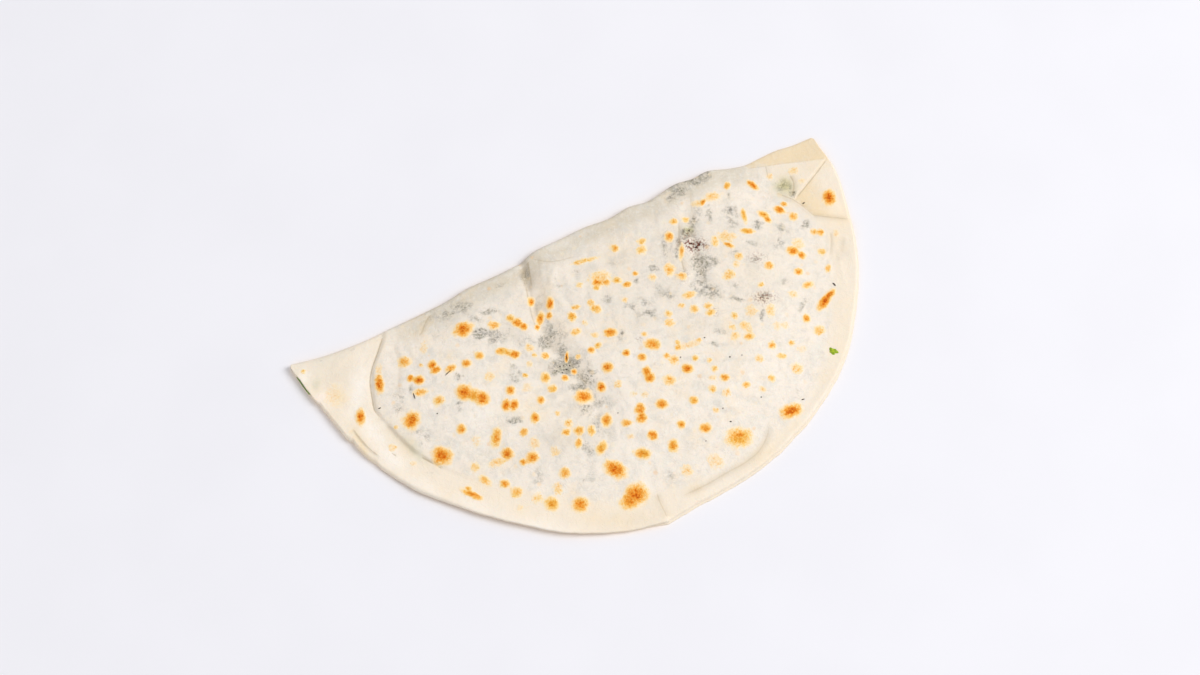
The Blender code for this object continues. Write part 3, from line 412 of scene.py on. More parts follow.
# Soft tints of the dough by kind, in the same terms. The shade patches are painted shade, and so are
# the brown ones in the valley; the olive ones are painted shade along the mound's foot, and the dough's
# own olive tone by the left tip; the grey ones are the grey dough by the left tip, and painted shade
# along the mound's foot.
TINTS = {
    "shade": (
        (414, 326, 14, 6, 35, 0.2), (543, 300, 4, 22, -12, 0.45), (551, 335, 9, 14, -15, 0.45),
        (571, 366, 9, 14, -30, 0.5), (587, 392, 10, 12, -30, 0.4), (597, 425, 10, 16, 0, 0.3),
        (480, 286, 16, 5, 28, 0.4), (700, 179, 14, 4, 20, 0.12), (612, 224, 12, 4, 27, 0.25),
        (742, 170, 14, 4, 20, 0.25), (520, 300, 5, 12, -10, 0.15), (655, 262, 100, 42, 25, 0.2),
        (765, 262, 46, 50, 0, 0.18), (552, 350, 16, 26, -20, 0.25), (480, 312, 34, 12, 26, 0.15),
        (512, 332, 16, 10, 0, 0.32), (562, 345, 11, 13, 0, 0.35), (540, 366, 12, 10, 0, 0.35),
        (572, 408, 13, 11, 0, 0.28), (562, 437, 15, 10, 0, 0.38), (436, 306, 27, 6, 30, 0.28),
        (345, 372, 9, 12, -10, 0.28), (350, 350, 8, 6, 20, 0.16), (760, 240, 14, 9, 0, 0.3),
        (625, 262, 18, 9, 15, 0.26), (784, 281, 9, 8, 0, 0.28), (620, 522, 20, 6, 5, 0.14),
        (672, 292, 16, 12, 0, 0.28), (640, 322, 14, 9, 0, 0.25), (700, 322, 24, 10, 0, 0.22),
    ),
    "valley_shade": (
        (531.5, 283, 4.5, 12, -14, 0.75), (538, 308, 4, 12, -12, 0.5), (525, 270, 2.6, 8, -12, 0.7),
        (558, 342, 8, 13, -22, 0.42), (580, 374, 9, 12, -35, 0.42), (592, 398, 9, 10, -20, 0.34),
        (597, 430, 9, 13, 0, 0.26),
    ),
    "flour": (
        (357.5, 388, 8.5, 25, -8, 0.8), (373, 431, 15, 7, -58, 0.85), (391, 458, 14, 6.5, -48, 0.75),
        (425, 488, 22, 6, -28, 0.45), (850, 320, 10, 50, 0, 0.2), (800, 425, 44, 10, 42, 0.22),
        # The patch at 526, 288 is partly flour and partly painted light on the lit edge of the left lobe's
        # flap.
        (725, 480, 40, 9, 28, 0.25), (500, 515, 24, 6, -14, 0.3), (526, 288, 3.5, 9, -14, 0.5),
        (560, 245, 12, 4, 27, 0.35), (842, 205, 9, 12, -30, 0.25), (306, 377, 5, 5, 0, 0.65),
        (482, 414, 13, 12, 0, 0.6), (540, 527, 32, 6, -8, 0.6), (478, 508, 20, 5, -20, 0.5),
        (330, 408, 5, 6, 0, 0.35), (532, 372, 7, 9, 0, 0.35), (640, 402, 8, 8, 0, 0.3),
    ),
    "grey": ((328, 358, 16, 7, 20, 0.8), (300, 367, 6, 4, 0, 0.6), (386.5, 429, 8, 3.5, -57, 0.55)),
    "olive_and_shade": ((316, 384.5, 3.6, 5, 0, 0.75), (414, 449, 12, 4, -50, 0.75), (404, 440, 5, 3, -50, 0.5)),
    "pink": ((323, 398.5, 5.8, 5.4, 0, 0.85),),
    "peach": ((838, 214, 14, 11, -30, 0.6), (586, 408, 7, 6, 0, 0.35), (563, 330, 7, 8, 0, 0.5)),
    "yellow": (
        (341, 396.5, 5.8, 7, 0, 0.8), (361, 444, 13, 2.8, -58, 0.7), (352, 431, 2, 2.6, 0, 0.8),
        (330, 414, 8, 5, -55, 0.3), (752, 272, 18, 14, 0, 0.26), (758, 304, 20, 9, 0, 0.24),
        (763, 298, 7, 5, 0, 0.55), (730, 250, 10, 12, 0, 0.28), (684, 262, 8, 14, 0, 0.26),
        (722, 198, 14, 6, 15, 0.24), (606, 280, 15, 8, 10, 0.28), (744, 328, 13, 11, 0, 0.24),
        (542, 408, 9, 10, 0, 0.22), (576, 432, 10, 9, 0, 0.3), (406, 421, 9, 10, 0, 0.22),
        (512, 408, 12, 9, 0, 0.24), (620, 520, 26, 7, 5, 0.36), (764, 452, 22, 6, 42, 0.38),
        (845, 330, 7, 26, 0, 0.26), (846, 214, 6, 11, 0, 0.45), (818, 163, 14, 6, 30, 0.28),
        (835, 238, 6, 6, 0, 0.3),
    ),
}
SPECKLED = (
    (693, 245, 9, 5.2, -10, 1.25), (688, 237, 4, 4.5, 30, 0.6), (713.5, 242, 1.8, 3, 0, 0.9),
    (756.5, 258, 7, 4.2, 0, 0.45), (764, 298, 7, 4, 5, 0.92), (684, 275, 4, 5, 0, 0.45),
    (640, 338, 3, 2.4, 0, 0.45), (714, 312, 3.6, 2.6, 0, 0.55),
)
# Leaf that shows greener than the rest.
LEAFY = ((688, 230.5, 3.6, 3.4, 0, 1), (784.5, 186.5, 7, 7, 0, 1), (563, 369, 4.5, 3.5, 0, 0.3))
# Tiny dark crumbs baked onto the top: photo x and y, length, width, turn.
CRUMBS = (
    (834, 284.5, 1.9, 0.65, -45), (803.6, 203.2, 1.4, 0.5, 35), (379.6, 408.2, 1.3, 0.45, 25),
    (802.9, 399.4, 1.5, 0.4, 15), (729.9, 356.8, 0.8, 0.6, 0), (704.6, 337.5, 0.6, 0.5, 0),
    (730.7, 421.8, 0.8, 0.6, 0), (761.2, 397, 0.6, 0.5, 0), (723, 408.2, 0.5, 0.5, 0),
    (437.2, 413.8, 0.6, 0.5, 0), (680.6, 357.1, 0.6, 0.5, 0), (696, 247, 1.1, 0.7, 20),
    (691.4, 243.5, 0.9, 0.6, -30), (699.8, 244.4, 0.8, 0.6, 60), (689, 230.6, 0.9, 0.5, 50),
    (742, 355, 0.5, 0.4, 0), (618, 413, 0.5, 0.4, 0), (706, 441, 0.5, 0.4, 0), (560, 366.5, 0.9, 0.5, 30),
    (566.5, 369.5, 1, 0.5, -20), (556.5, 371, 0.8, 0.5, 10), (569.5, 365.5, 0.8, 0.5, 60),
    (562.5, 372.5, 0.7, 0.5, -40), (563.8, 366, 0.6, 0.5, 0),
)
# Threads of leaf under a skin of flour, dark lines on the top: photo pixels of both ends.
THREADS = (
    ((445, 375.6), (452, 369.6)), ((413.2, 392.4), (415.2, 399)), ((566, 352.5), (567.4, 361)),
)
THREAD_WIDTH, THREAD_THICKNESS = 0.45, 0.4
HERB_FLAKE = (205.4, -90.7)  # its place in plan
FLAKE_TURN = -50.0
FLAKE_LENGTH, FLAKE_WIDTH = 3.9, 2.8
FLAKE_SINK = 0.25  # how deep it sits in the dough
FLAKE_NOTCHES = ((0.16, 3, 0.0), (0.10, 5, 1.0), (0.05, 11, 0.0))  # depth, number round the leaf, turn
SHREDS = 16  # ends of leaves in the open seam
# Height that they lie at, length, width and thickness: the least and the most.
SHRED_SIZES = ((1.1, 1.5), (0.5, 1.2), (0.3, 0.5), (0.15, 0.35))


def colour(red, green, blue):
    """A colour given from 0 to 255, as the linear values that a shader takes."""
    given = np.array([red, green, blue]) / 255.0
    linear = np.where(given <= 0.04045, given / 12.92, ((given + 0.055) / 1.055) ** 2.4)
    return (*[float(value) for value in linear], 1.0)


# ---------------------------------------------------------------- plan geometry
def smooth_line(points, count):
    """Evenly spaced points on a smooth curve through the given ones."""
    given = np.array(points)
    along = np.r_[0.0, np.cumsum(np.hypot(*np.diff(given, axis=0).T))]
    slope = np.gradient(given, along, axis=0)
    dense = np.linspace(0.0, along[-1], 60 * len(given))
    piece = np.clip(np.searchsorted(along, dense) - 1, 0, len(given) - 2)
    span = (along[piece + 1] - along[piece])[:, None]
    s = (dense - along[piece])[:, None] / span
    curve = (
        given[piece] * (1 + 2 * s) * (1 - s) ** 2
        + given[piece + 1] * s * s * (3 - 2 * s)
        + span * slope[piece] * s * (1 - s) ** 2
        + span * slope[piece + 1] * s * s * (s - 1)
    )
    length = np.r_[0.0, np.cumsum(np.hypot(*np.diff(curve, axis=0).T))]
    even = np.linspace(0.0, length[-1], count)
    return np.column_stack([np.interp(even, length, curve[:, axis]) for axis in (0, 1)])


def outline(count):
    """Matching points on the folded edge and on the rim, from the left tip to the right tip."""
    share = np.linspace(0.0, 1.0, count)
    fold = smooth_line(FOLD, 400)
    left = smooth_line(RIM_LEFT, 300)
    rim = np.vstack([left, smooth_line(RIM_RIGHT, 400)[1:]])
    length = np.r_[0.0, np.cumsum(np.hypot(*np.diff(rim, axis=0).T))]
    turn = length[len(left) - 1] / length[-1]
    share[np.argmin(abs(share - turn))] = turn
    rim_points = [np.interp(share * length[-1], length, rim[:, axis]) for axis in (0, 1)]
    fold_points = [np.interp(share, np.linspace(0.0, 1.0, len(fold)), fold[:, axis]) for axis in (0, 1)]
    return np.column_stack(fold_points), np.column_stack(rim_points), share


FOLD_LINE = smooth_line(FOLD, 400)
RIM_LINE = outline(SECTIONS)[1]


def frame_zero():
    """The middle of the dough's box in plan, which is the frame's zero point."""
    fold, rim, _ = outline(SOLID_SECTIONS)
    corners = np.vstack([fold, rim])
    return np.array([*((corners.min(axis=0) + corners.max(axis=0)) / 2), 0.0])


TO_FRAME = frame_zero()


def between(ends, share):
    """The value that lies at the given share of the way between two ends."""
    return ends[0] + (ends[1] - ends[0]) * share


def turned(offsets, turn):
    """Offsets in plan, measured along a turned direction and across it."""
    return offsets @ (math.cos(turn), math.sin(turn)), offsets @ (-math.sin(turn), math.cos(turn))


def ramp(value, start, end):
    """A smooth rise from 0 to 1 as the value goes from start to end."""
    share = np.clip((value - start) / (end - start), 0.0, 1.0)
    return share * share * (3.0 - 2.0 * share)


def beside(points, line):
    """Each point's distance to a line, positive on its left side, and the share of the way along it."""
    line = np.asarray(line)
    tangent = np.gradient(line, axis=0)
    distance, share = np.empty(len(points)), np.empty(len(points))
    for start in range(0, len(points), 8192):
        some = points[start : start + 8192]
        gap = some[:, None, :] - line[None, :, :]
        index = (gap**2).sum(axis=2).argmin(axis=1)
        near = gap[np.arange(len(some)), index]
        t = tangent[index]
        side = np.sign(t[:, 0] * near[:, 1] - t[:, 1] * near[:, 0])
        distance[start : start + 8192] = np.where(side == 0.0, 1.0, side) * np.hypot(*near.T)
        share[start : start + 8192] = index / (len(line) - 1)
    return distance, share


def swells(points, size, seed):
    """Smooth seeded unevenness from about -1 to 1, with lumps of the given size."""
    turns = np.random.default_rng(seed).uniform(0.0, 2 * math.pi, (128, 128))
    place = points / size + 40.0
    cell = np.floor(place).astype(int)
    part = place - cell
    ease = part**3 * (part * (part * 6 - 15) + 10)
    total = np.zeros(len(points))
    for step_x in (0, 1):
        for step_y in (0, 1):
            turn = turns[(cell[:, 0] + step_x) % 128, (cell[:, 1] + step_y) % 128]
            slope = np.cos(turn) * (part[:, 0] - step_x) + np.sin(turn) * (part[:, 1] - step_y)
            weight_x = ease[:, 0] if step_x else 1.0 - ease[:, 0]
            weight_y = ease[:, 1] if step_y else 1.0 - ease[:, 1]
            total += weight_x * weight_y * slope
    return 1.5 * total


def bent(points, amount, size, seed):
    """The points, each moved a little by swells of the given size."""
    return points + amount * np.column_stack([swells(points, size, seed), swells(points, size, seed + 1)])


# ---------------------------------------------------------------- heights
def inside_mound(points):
    """Distance to the mound's foot, positive on the mound and negative on the margin round it."""
    foot = smooth_line(MOUND_FOOT, 500)
    away = abs(beside(points, foot)[0])
    centre = np.array(MOUND_CENTRE)

    def angle(place):
        offset = place - centre
        return np.mod(np.arctan2(-offset[:, 0], offset[:, 1]), 2 * math.pi)

    foot_radius = np.interp(angle(points), angle(foot), np.linalg.norm(foot - centre, axis=1))
    inner = np.linalg.norm(points - centre, axis=1) < foot_radius
    open_side = (angle(points) < angle(foot)[0]) | (angle(points) > angle(foot)[-1])
    return np.where(inner | open_side, away, -away)


def tuck_relief(points):
    """The doubled dough beside the tucked triangle, and nothing inside it."""
    tuck = np.array(TUCK)
    centre = tuck.mean(axis=0)
    inner = np.full(len(points), np.inf)
    for start, end in zip(tuck[:-1], tuck[1:]):
        along = (end - start) / np.linalg.norm(end - start)
        across = np.array([-along[1], along[0]])
        across = across * np.sign((centre - start) @ across)
        inner = np.minimum(inner, (points - start) @ across)
    relief = TUCK_BESIDE * ramp(-inner, -0.2, PLEAT_EDGE) * ramp(-inner, TUCK_REACH, 0.0)
    return relief, inner


def pleat_relief(points):
    """The overlapping layer on the left of the bottom pleat, which fades to the left and upwards."""
    top, base = np.array(PLEAT_TOP), np.array(PLEAT_BASE)
    line_x = np.interp(points[:, 1], (base[1], top[1]), (base[0], top[0]))
    left = line_x - points[:, 0]
    step = ramp(left, -PLEAT_EDGE / 2, PLEAT_EDGE / 2) * ramp(left, PLEAT_REACH, 0.0)
    return PLEAT_STEP * step * ramp(points[:, 1], top[1], base[1])


def crease_depth(points):
    """How far the valley and the dent press the top down. Their right side is the gentle one."""
    total = np.zeros(len(points))
    for line, depths, right_widths, left_widths in CREASES:
        away, along = beside(points, smooth_line(line, 200))
        width = np.where(away > 0.0, between(right_widths, along), between(left_widths, along))
        total += between(depths, along) * ramp(along, 1.0, CREASE_FADE) * np.exp(-((away / width) ** 2))
    return total


def fine_lines(points):
    """The thin pleats, wrinkles and ridges: height, soft shade, and distance and darkness of the core."""
    height, shade = np.zeros(len(points)), np.zeros(len(points))
    core_away, core_dark = np.full(len(points), LINE_REACH), np.zeros(len(points))
    score = np.zeros(len(points))
    for line, heights, left, right, dark, soft in FINE_LINES:
        path = smooth_line(line, 160)
        reach = max(4.0 * max(left, right), LINE_REACH)
        low, high = path.min(axis=0) - reach, path.max(axis=0) + reach
        close = np.flatnonzero(((points > low) & (points < high)).all(axis=1))
        away, along = beside(points[close], path)
        ends = ramp(along, 0.0, LINE_ENDS) * ramp(along, 1.0, 1.0 - LINE_ENDS)
        shape = ends * np.exp(-((away / np.where(away > 0.0, left, right)) ** 2))
        height[close] += between(heights, along) * shape
        shade[close] = np.maximum(shade[close], soft * ends * np.exp(-((away / SHADE_REACH) ** 2)))
        here = dark * ends * ramp(abs(away), LINE_REACH, 0.0)
        better = here > score[close]
        chosen = close[better]
        score[chosen] = here[better]
        core_away[chosen] = away[better]
        core_dark[chosen] = dark * ends[better] * ramp(abs(away[better]), LINE_REACH, 0.4 * LINE_REACH)
    return height, shade, core_away, core_dark


def underside(points):
    """Height of the underside: flat, but for the lifted left part of the rim."""
    away, along = beside(points, RIM_LINE)
    lifted = ramp(along, *LIFT_RISE) * ramp(along, *LIFT_FALL)
    return RIM_LIFT * lifted * ramp(abs(away), LIFT_WIDTH, 0.0)


class Top:
    """Everything about the top surface at the given places in plan."""

    def __init__(self, points):
        x, y = points.T
        inner = inside_mound(points)
        back = abs(beside(points, FOLD_LINE)[0])
        tuck, in_tuck = tuck_relief(points)
        left = ramp(x, *MARGIN_FADE_X) * ramp(y, *MARGIN_FADE_Y)
        flat = RIM + (MARGIN - RIM) * left + tuck + pleat_relief(points)

        peak = np.full(len(points), MOUND)
        for centre, radius, height in SWELLINGS:
            peak += height * np.exp(-(((x - centre[0]) ** 2 + (y - centre[1]) ** 2) / radius**2))
        edge = MARGIN + (FOLD_HEIGHT - MARGIN) * ramp(x, *FOLD_RISE) * ramp(x, *FOLD_FALL)
        high = edge + (peak - edge) * ramp(back, 0.0, SHOULDER) ** SHOULDER_BOW - crease_depth(points)
        at_left = ramp(x, *STEP_FADE_X) * ramp(y, *STEP_FADE_Y)
        flat = flat + FOOT_STEP * at_left * ramp(inner, 0.0, FOOT_STEP_WIDTH)
        at_once = 1.0 - (1.0 - np.clip(inner / EASE, 0.0, 1.0)) ** 2
        rise = FOOT_SLOPE * at_left * at_once + (1.0 - FOOT_SLOPE * at_left) * ramp(inner, 0.0, EASE)

        on_mound = ramp(inner, 0.0, MOUND_START)
        bumps = sum(h * swells(points, size, seed) for size, h, seed in MOUND_WAVES)
        size, height, seed = WRINKLES
        places = bent(points, *WRINKLE_BEND) * WRINKLE_STRETCH
        folds = height * (0.5 - abs(swells(places, size, seed)) * 2.0)
        on_shoulder = ramp(back, *SHOULDER_BACK) * ramp(x, *SHOULDER_LEFT) * ramp(x, *SHOULDER_RIGHT)
        bumps = (bumps + folds) * on_mound * (1.0 - SHOULDER_CALM * on_shoulder)
        bumps += (1.0 - on_mound) * sum(h * swells(points, size, seed) for size, h, seed in MARGIN_WAVES)

        lines, self.line_shade, self.line_away, self.line_dark = fine_lines(points)
        ear_side = beside(points, smooth_line(EAR_LINE, 120))[0]
        in_ear = ramp(ear_side, -0.3, 0.5) * ramp(x, *EAR_START)
        under = underside(points)

        height = flat + np.maximum(high - flat, 0.0) * rise + under + bumps + lines - EAR_STEP * in_ear
        over = np.maximum(height - CEILING, 0.0)
        self.height = height - over + HEADROOM * np.tanh(over / HEADROOM)
        self.inner, self.shoulder = inner, on_shoulder
        self.ear = in_ear
        self.tuck = ramp(in_tuck, -0.2, 0.6) * ramp(x, *TUCK_END)


# ---------------------------------------------------------------- from the photograph onto the dough
def camera_axes():
    """The camera's place in plan millimetres and its right, up and forward directions."""
    turn, height = math.radians(FOLD_TURN), math.radians(CAMERA_HEIGHT_ANGLE)
    right = np.array([math.cos(turn), -math.sin(turn), 0.0])
    level = np.array([math.sin(turn), math.cos(turn), 0.0])
    forward = math.cos(height) * level - math.sin(height) * np.array([0.0, 0.0, 1.0])
    place = np.array([*LOOK_AT, 0.0]) - CAMERA_DISTANCE * forward
    return place, right, np.cross(right, forward), forward


def on_plan(pixels, height):
    """Plan places of photo pixels on a level at the given height."""
    place, right, up, forward = camera_axes()
    focal = LENS / SENSOR * PHOTO_WIDTH
    x = (pixels[:, 0] - PHOTO_WIDTH / 2) / focal
    y = (PHOTO_HEIGHT / 2 - pixels[:, 1]) / focal
    ray = x[:, None] * right + y[:, None] * up + forward
    reach = (height - place[2]) / ray[:, 2]
    return (place + reach[:, None] * ray)[:, :2]


def on_top(pixels):
    """Plan places and heights where the rays of photo pixels meet the top."""
    pixels = np.asarray(pixels, float)
    height = np.full(len(pixels), SEARCH_START)
    for _ in range(SEARCH_STEPS):
        places = on_plan(pixels, height)
        height = Top(places).height
    return places, height


def spot_fields(points, spots):
    """Toast at each point: 1 at a spot's centre, 0 on its edge and less outside; its core; its tone."""
    shape = np.full(len(points), NO_TOAST)
    core, tone = np.zeros(len(points)), np.zeros(len(points))
    wobble = 1.0 + sum(part * swells(points, size, seed) for size, part, seed in SPOT_WOBBLE)
    rng = np.random.default_rng(63)
    for x, y, length, width, turn, strength in spots:
        shift = rng.uniform(-CORE_SHIFT, CORE_SHIFT, 2)
        gap = points - (x, y)
        close = np.flatnonzero(np.hypot(*gap.T) < 0.95 * max(length, width) + 0.3)
        u, v = turned(gap[close], turn)
        u, v = u / (SPOT_SCALE * length / 2), v / (SPOT_SCALE * width / 2)
        here = 1.0 - (np.hypot(u, v) * wobble[close]) ** 2
        better = here > shape[close]
        chosen = close[better]
        shape[chosen], tone[chosen] = here[better], strength
        off_core = np.hypot(u - shift[0], v - shift[1])[better] * wobble[chosen] / CORE_SIZE
        core[chosen] = np.clip(1.0 - off_core**2, 0.0, 1.0)
    return shape, core, tone


def patch_field(points, patches):
    """Strength of the soft patches at each point."""
    total = np.zeros(len(points))
    places = bent(points, *PATCH_BEND)
    for x, y, length, width, turn, strength in patches:
        u, v = turned(places - (x, y), turn)
        apart = (u / (length / 2)) ** 2 + (v / (width / 2)) ** 2
        total = np.maximum(total, strength * np.exp(-PATCH_FALL * apart))
    return total


def tint_field(points):
    """The soft tints' mixed colour at each point, and in a fourth column how much of it there is."""
    weight = np.full(len(points), 1e-6)
    total = weight[:, None] * TINT_COLOURS["flour"][:3]
    strongest = np.zeros(len(points))
    for kind, patches in TINTS.items():
        share = patch_field(points, in_plan(patches))
        total += share[:, None] * TINT_COLOURS[kind][:3]
        weight += share
        strongest = np.maximum(strongest, share)
    return np.column_stack([total / weight[:, None], np.minimum(strongest, 1.0)])


def in_plan(marks):
    """Marks given by photo pixel, size and turn, as marks in plan."""
    places, _ = on_top([mark[:2] for mark in marks])
    turns = [math.radians(mark[4] - FOLD_TURN) for mark in marks]
    return [(*place, mark[2], mark[3], turn, mark[5]) for place, mark, turn in zip(places, marks, turns)]


# ---------------------------------------------------------------- the dough
def trapezoid(share, corners):
    """1 between the middle two corners, 0 outside the outer two."""
    return ramp(share, corners[0], corners[1]) * ramp(share, corners[3], corners[2])


def spots_below():
    """Toasted spots of the underside in plan, strewn over its filled part."""
    rng = np.random.default_rng(91)
    below = []
    while len(below) < SPOTS_BELOW:
        place = rng.uniform(*SPOTS_BELOW_AREA)
        if inside_mound(place[None, :])[0] > -SPOTS_BELOW_MARGIN:
            size = rng.uniform(*SPOTS_BELOW_SIZE)
            width = size * rng.uniform(0.6, 0.95)
            below.append((*place, size, width, rng.uniform(0, 3), rng.uniform(0.5, 1.05)))
    return below


def dough_mesh():
    """The whole skin of the dough, as one closed mesh, with its paint values at the vertices."""
    fold, rim, share = outline(SECTIONS)
    length = np.linalg.norm(rim - fold, axis=1)
    outward = (rim - fold) / length[:, None]
    small = np.minimum(1.0, length / TIP_LENGTH)
    row = np.column_stack([share * RIM_LENGTH, np.zeros(SECTIONS)])
    wave = RIM_WAVE * sum(part * swells(row, size, seed) for size, part, seed in RIM_WAVES)
    for x, y, half_width, cut in NICKS:
        wave -= cut * np.exp(-((np.hypot(rim[:, 0] - x, rim[:, 1] - y) / half_width) ** 2))
    rim = rim + (wave * small)[:, None] * outward
    mouth = trapezoid(share, MOUTH_SHARES)
    at_right = ramp(share, *SOFT_RIGHT_RISE)
    back = SETBACK + SETBACK_WAVE * (0.5 + 0.5 * swells(row, *SETBACK_SWELLS)) + SLOPE_RIGHT * at_right
    back = (back + (MOUTH_SETBACK - back) * mouth) * small
    lower_back = (UNDERCUT - (UNDERCUT + LEDGE) * at_right) * small * (1.0 - mouth)
    radius = EDGE_RADIUS + SOFT_LEFT * trapezoid(share, SOFT_LEFT_SHARES) + SOFT_RIGHT * at_right
    radius = (radius * small)[:, None]
    depth = np.minimum(FOLD_DEPTH, TIP_SHARE * length)

    def behind_rim(away):
        """Places in plan at these distances in from the rim."""
        return rim[:, None, :] - away[:, :, None] * outward[:, None, :]

    # The top, from the cut edge to the fold.
    edge_away = back[:, None] + radius * np.array(EDGE_ROWS)
    start = edge_away[:, -1:]
    steps = np.linspace(0.0, 1.0, TOP_ROWS - len(EDGE_ROWS) + 1)[1:] ** ROW_CROWDING
    away = np.hstack([edge_away, start + steps * ((length - depth)[:, None] - start)])
    shape = away.shape
    plan = behind_rim(away)
    flat_plan = plan.reshape(-1, 2)
    top = Top(flat_plan)
    from_cut = away - back[:, None]
    lip = MOUTH_LIP * mouth[:, None] * ramp(from_cut, LIP_REACH, 0.0)
    inside = np.clip(from_cut / radius, 0.0, 1.0)
    height = top.height.reshape(shape) + lip - radius * (1.0 - np.sqrt(1.0 - (1.0 - inside) ** 2))
    spot_shape, core, tone = spot_fields(
        flat_plan, in_plan(SPOTS_LEFT_LOBE + SPOTS_MIDDLE + SPOTS_RIGHT_LOBE)
    )
    blister = BLISTER * (ramp(spot_shape, *BLISTER_EDGE) * np.minimum(tone, 1.0)).reshape(shape)
    height = height + blister * ramp(inside, 0.0, 1.0)

    # Round the folded edge and back along the underside.
    turns = np.radians(np.linspace(NOSE_TURN, -NOSE_TURN, NOSE_ROWS))
    half = height[:, -1:] / 2
    nose_plan = fold[:, None, :] + outward[:, None, :] * (depth[:, None] * (1.0 - np.cos(turns)))[:, :, None]
    nose_height = half + half * np.sin(turns)
    base_share = np.linspace(0.0, 1.0, BASE_ROWS)
    base_end = lower_back + BASE_INSET * small
    base_away = (length - depth)[:, None] * (1.0 - base_share) + base_end[:, None] * base_share
    base_plan = behind_rim(base_away)
    base_flat = base_plan.reshape(-1, 2)
    base_height = underside(base_flat).reshape(base_away.shape)

    # The cut edge: lower layer, seam and upper layer, from below to above.
    low, upper = base_height[:, -1], height[:, 0]
    gap = mouth * (height[:, len(EDGE_ROWS) - 1] - low - 2.0 * SHEET) + SHUT_SEAM
    pocket = between(SEAM_DEPTH, at_right) + MOUTH_DEPTH * mouth
    pocket = np.minimum(pocket, POCKET_SHARE * length) * np.maximum(small, LEAST_POCKET)
    pocket = np.maximum(back, lower_back) + pocket
    lower = np.minimum(SHEET, 0.5 * (upper - low))
    roof = low + lower + np.maximum(gap, LEAST_SEAM)
    profile = [(lower_back + inset * small, low + rise * lower) for inset, rise in LOWER_CUT]
    profile += [(pocket, low + lower), (pocket, roof)]
    profile += [(back + inset * small, roof + rise * (upper - roof)) for inset, rise in UPPER_CUT]
    cut_away, cut_height = [np.stack(column, axis=1) for column in zip(*profile)]
    sloping = lower_back[:, None] + (back - lower_back)[:, None] * cut_height / upper[:, None]
    cut_away = cut_away + at_right[:, None] * (sloping - cut_away)

    all_plan = np.concatenate([plan, nose_plan, base_plan, behind_rim(cut_away)], axis=1)
    all_height = np.concatenate([height, nose_height, base_height, cut_height], axis=1)
    ring_size = all_plan.shape[1]
    nose_rows = slice(TOP_ROWS, TOP_ROWS + NOSE_ROWS)
    base_rows = slice(nose_rows.stop, nose_rows.stop + BASE_ROWS)
    lower_rows = slice(base_rows.stop, base_rows.stop + len(LOWER_CUT) + 1)

    # Paint values: those of the top's rows, and then what the other rows have.
    tint = tint_field(flat_plan)
    top_values = {
        "toast_shape": spot_shape, "toast_core": core, "toast_tone": tone,
        "greens": patch_field(flat_plan, in_plan(GREENS)),
        "leafy": patch_field(flat_plan, in_plan(LEAFY)),
        "speckled": patch_field(flat_plan, in_plan(SPECKLED)),
        "mound": ramp(top.inner, *MOUND_PAINT), "shoulder": top.shoulder,
        "ear": np.maximum(top.ear, top.tuck), "line_shade": top.line_shade,
        "line_away": top.line_away, "line_dark": top.line_dark,
        "cut": np.zeros(shape), "tint_share": tint[:, 3],
        "tint_red": tint[:, 0], "tint_green": tint[:, 1], "tint_blue": tint[:, 2],
    }
    elsewhere = {"toast_shape": NO_TOAST, "line_away": LINE_REACH}
    fields = {}
    for name, values in top_values.items():
        fields[name] = np.full((SECTIONS, ring_size), elsewhere.get(name, 0.0))
        fields[name][:, :TOP_ROWS] = values.reshape(shape)
    base_toast = spot_fields(base_flat, spots_below())
    for name, values in zip(("toast_shape", "toast_core", "toast_tone"), base_toast):
        fields[name][:, base_rows] = values.reshape(base_away.shape)
    fields["cut"][:, lower_rows] = (1.0 - mouth)[:, None]
    for name in ("mound", "shoulder", "ear", "greens", "tint_share", "tint_red", "tint_green", "tint_blue"):
        fields[name][:, nose_rows] = fields[name][:, TOP_ROWS - 1 : TOP_ROWS]
    fields["mound"][:, base_rows] = ramp(inside_mound(base_flat), *MOUND_PAINT).reshape(base_away.shape)

    corners = np.dstack([all_plan, all_height]).reshape(-1, 3) - TO_FRAME
    mesh = bpy.data.meshes.new("dough_skin")
    caps = [list(range(ring_size)), list(range((SECTIONS - 1) * ring_size, SECTIONS * ring_size))[::-1]]
    mesh.from_pydata((corners * MM).tolist(), [], [*ring_faces(SECTIONS, ring_size).tolist(), *caps])
    for name, field in fields.items():
        attribute = mesh.attributes.new(name, "FLOAT", "POINT")
        attribute.data.foreach_set("value", field.reshape(-1).astype(np.float32))
    mesh.shade_smooth()
    mesh.update()
    flatten_for_paint(mesh, all_plan, all_height)
    return mesh


def ring_faces(rings, size):
    """Quads between neighbouring closed rings."""
    ring, place = np.meshgrid(np.arange(rings - 1), np.arange(size), indexing="ij")
    after = (place + 1) % size
    here = ring * size
    faces = np.stack([here + place, here + after, here + size + after, here + size + place], axis=-1)
    return faces.reshape(-1, 4)[:, ::-1]


def read(items, name):
    """One whole number from each of a mesh's corners or faces."""
    numbers = np.empty(len(items), np.int32)
    items.foreach_get(name, numbers)
    return numbers


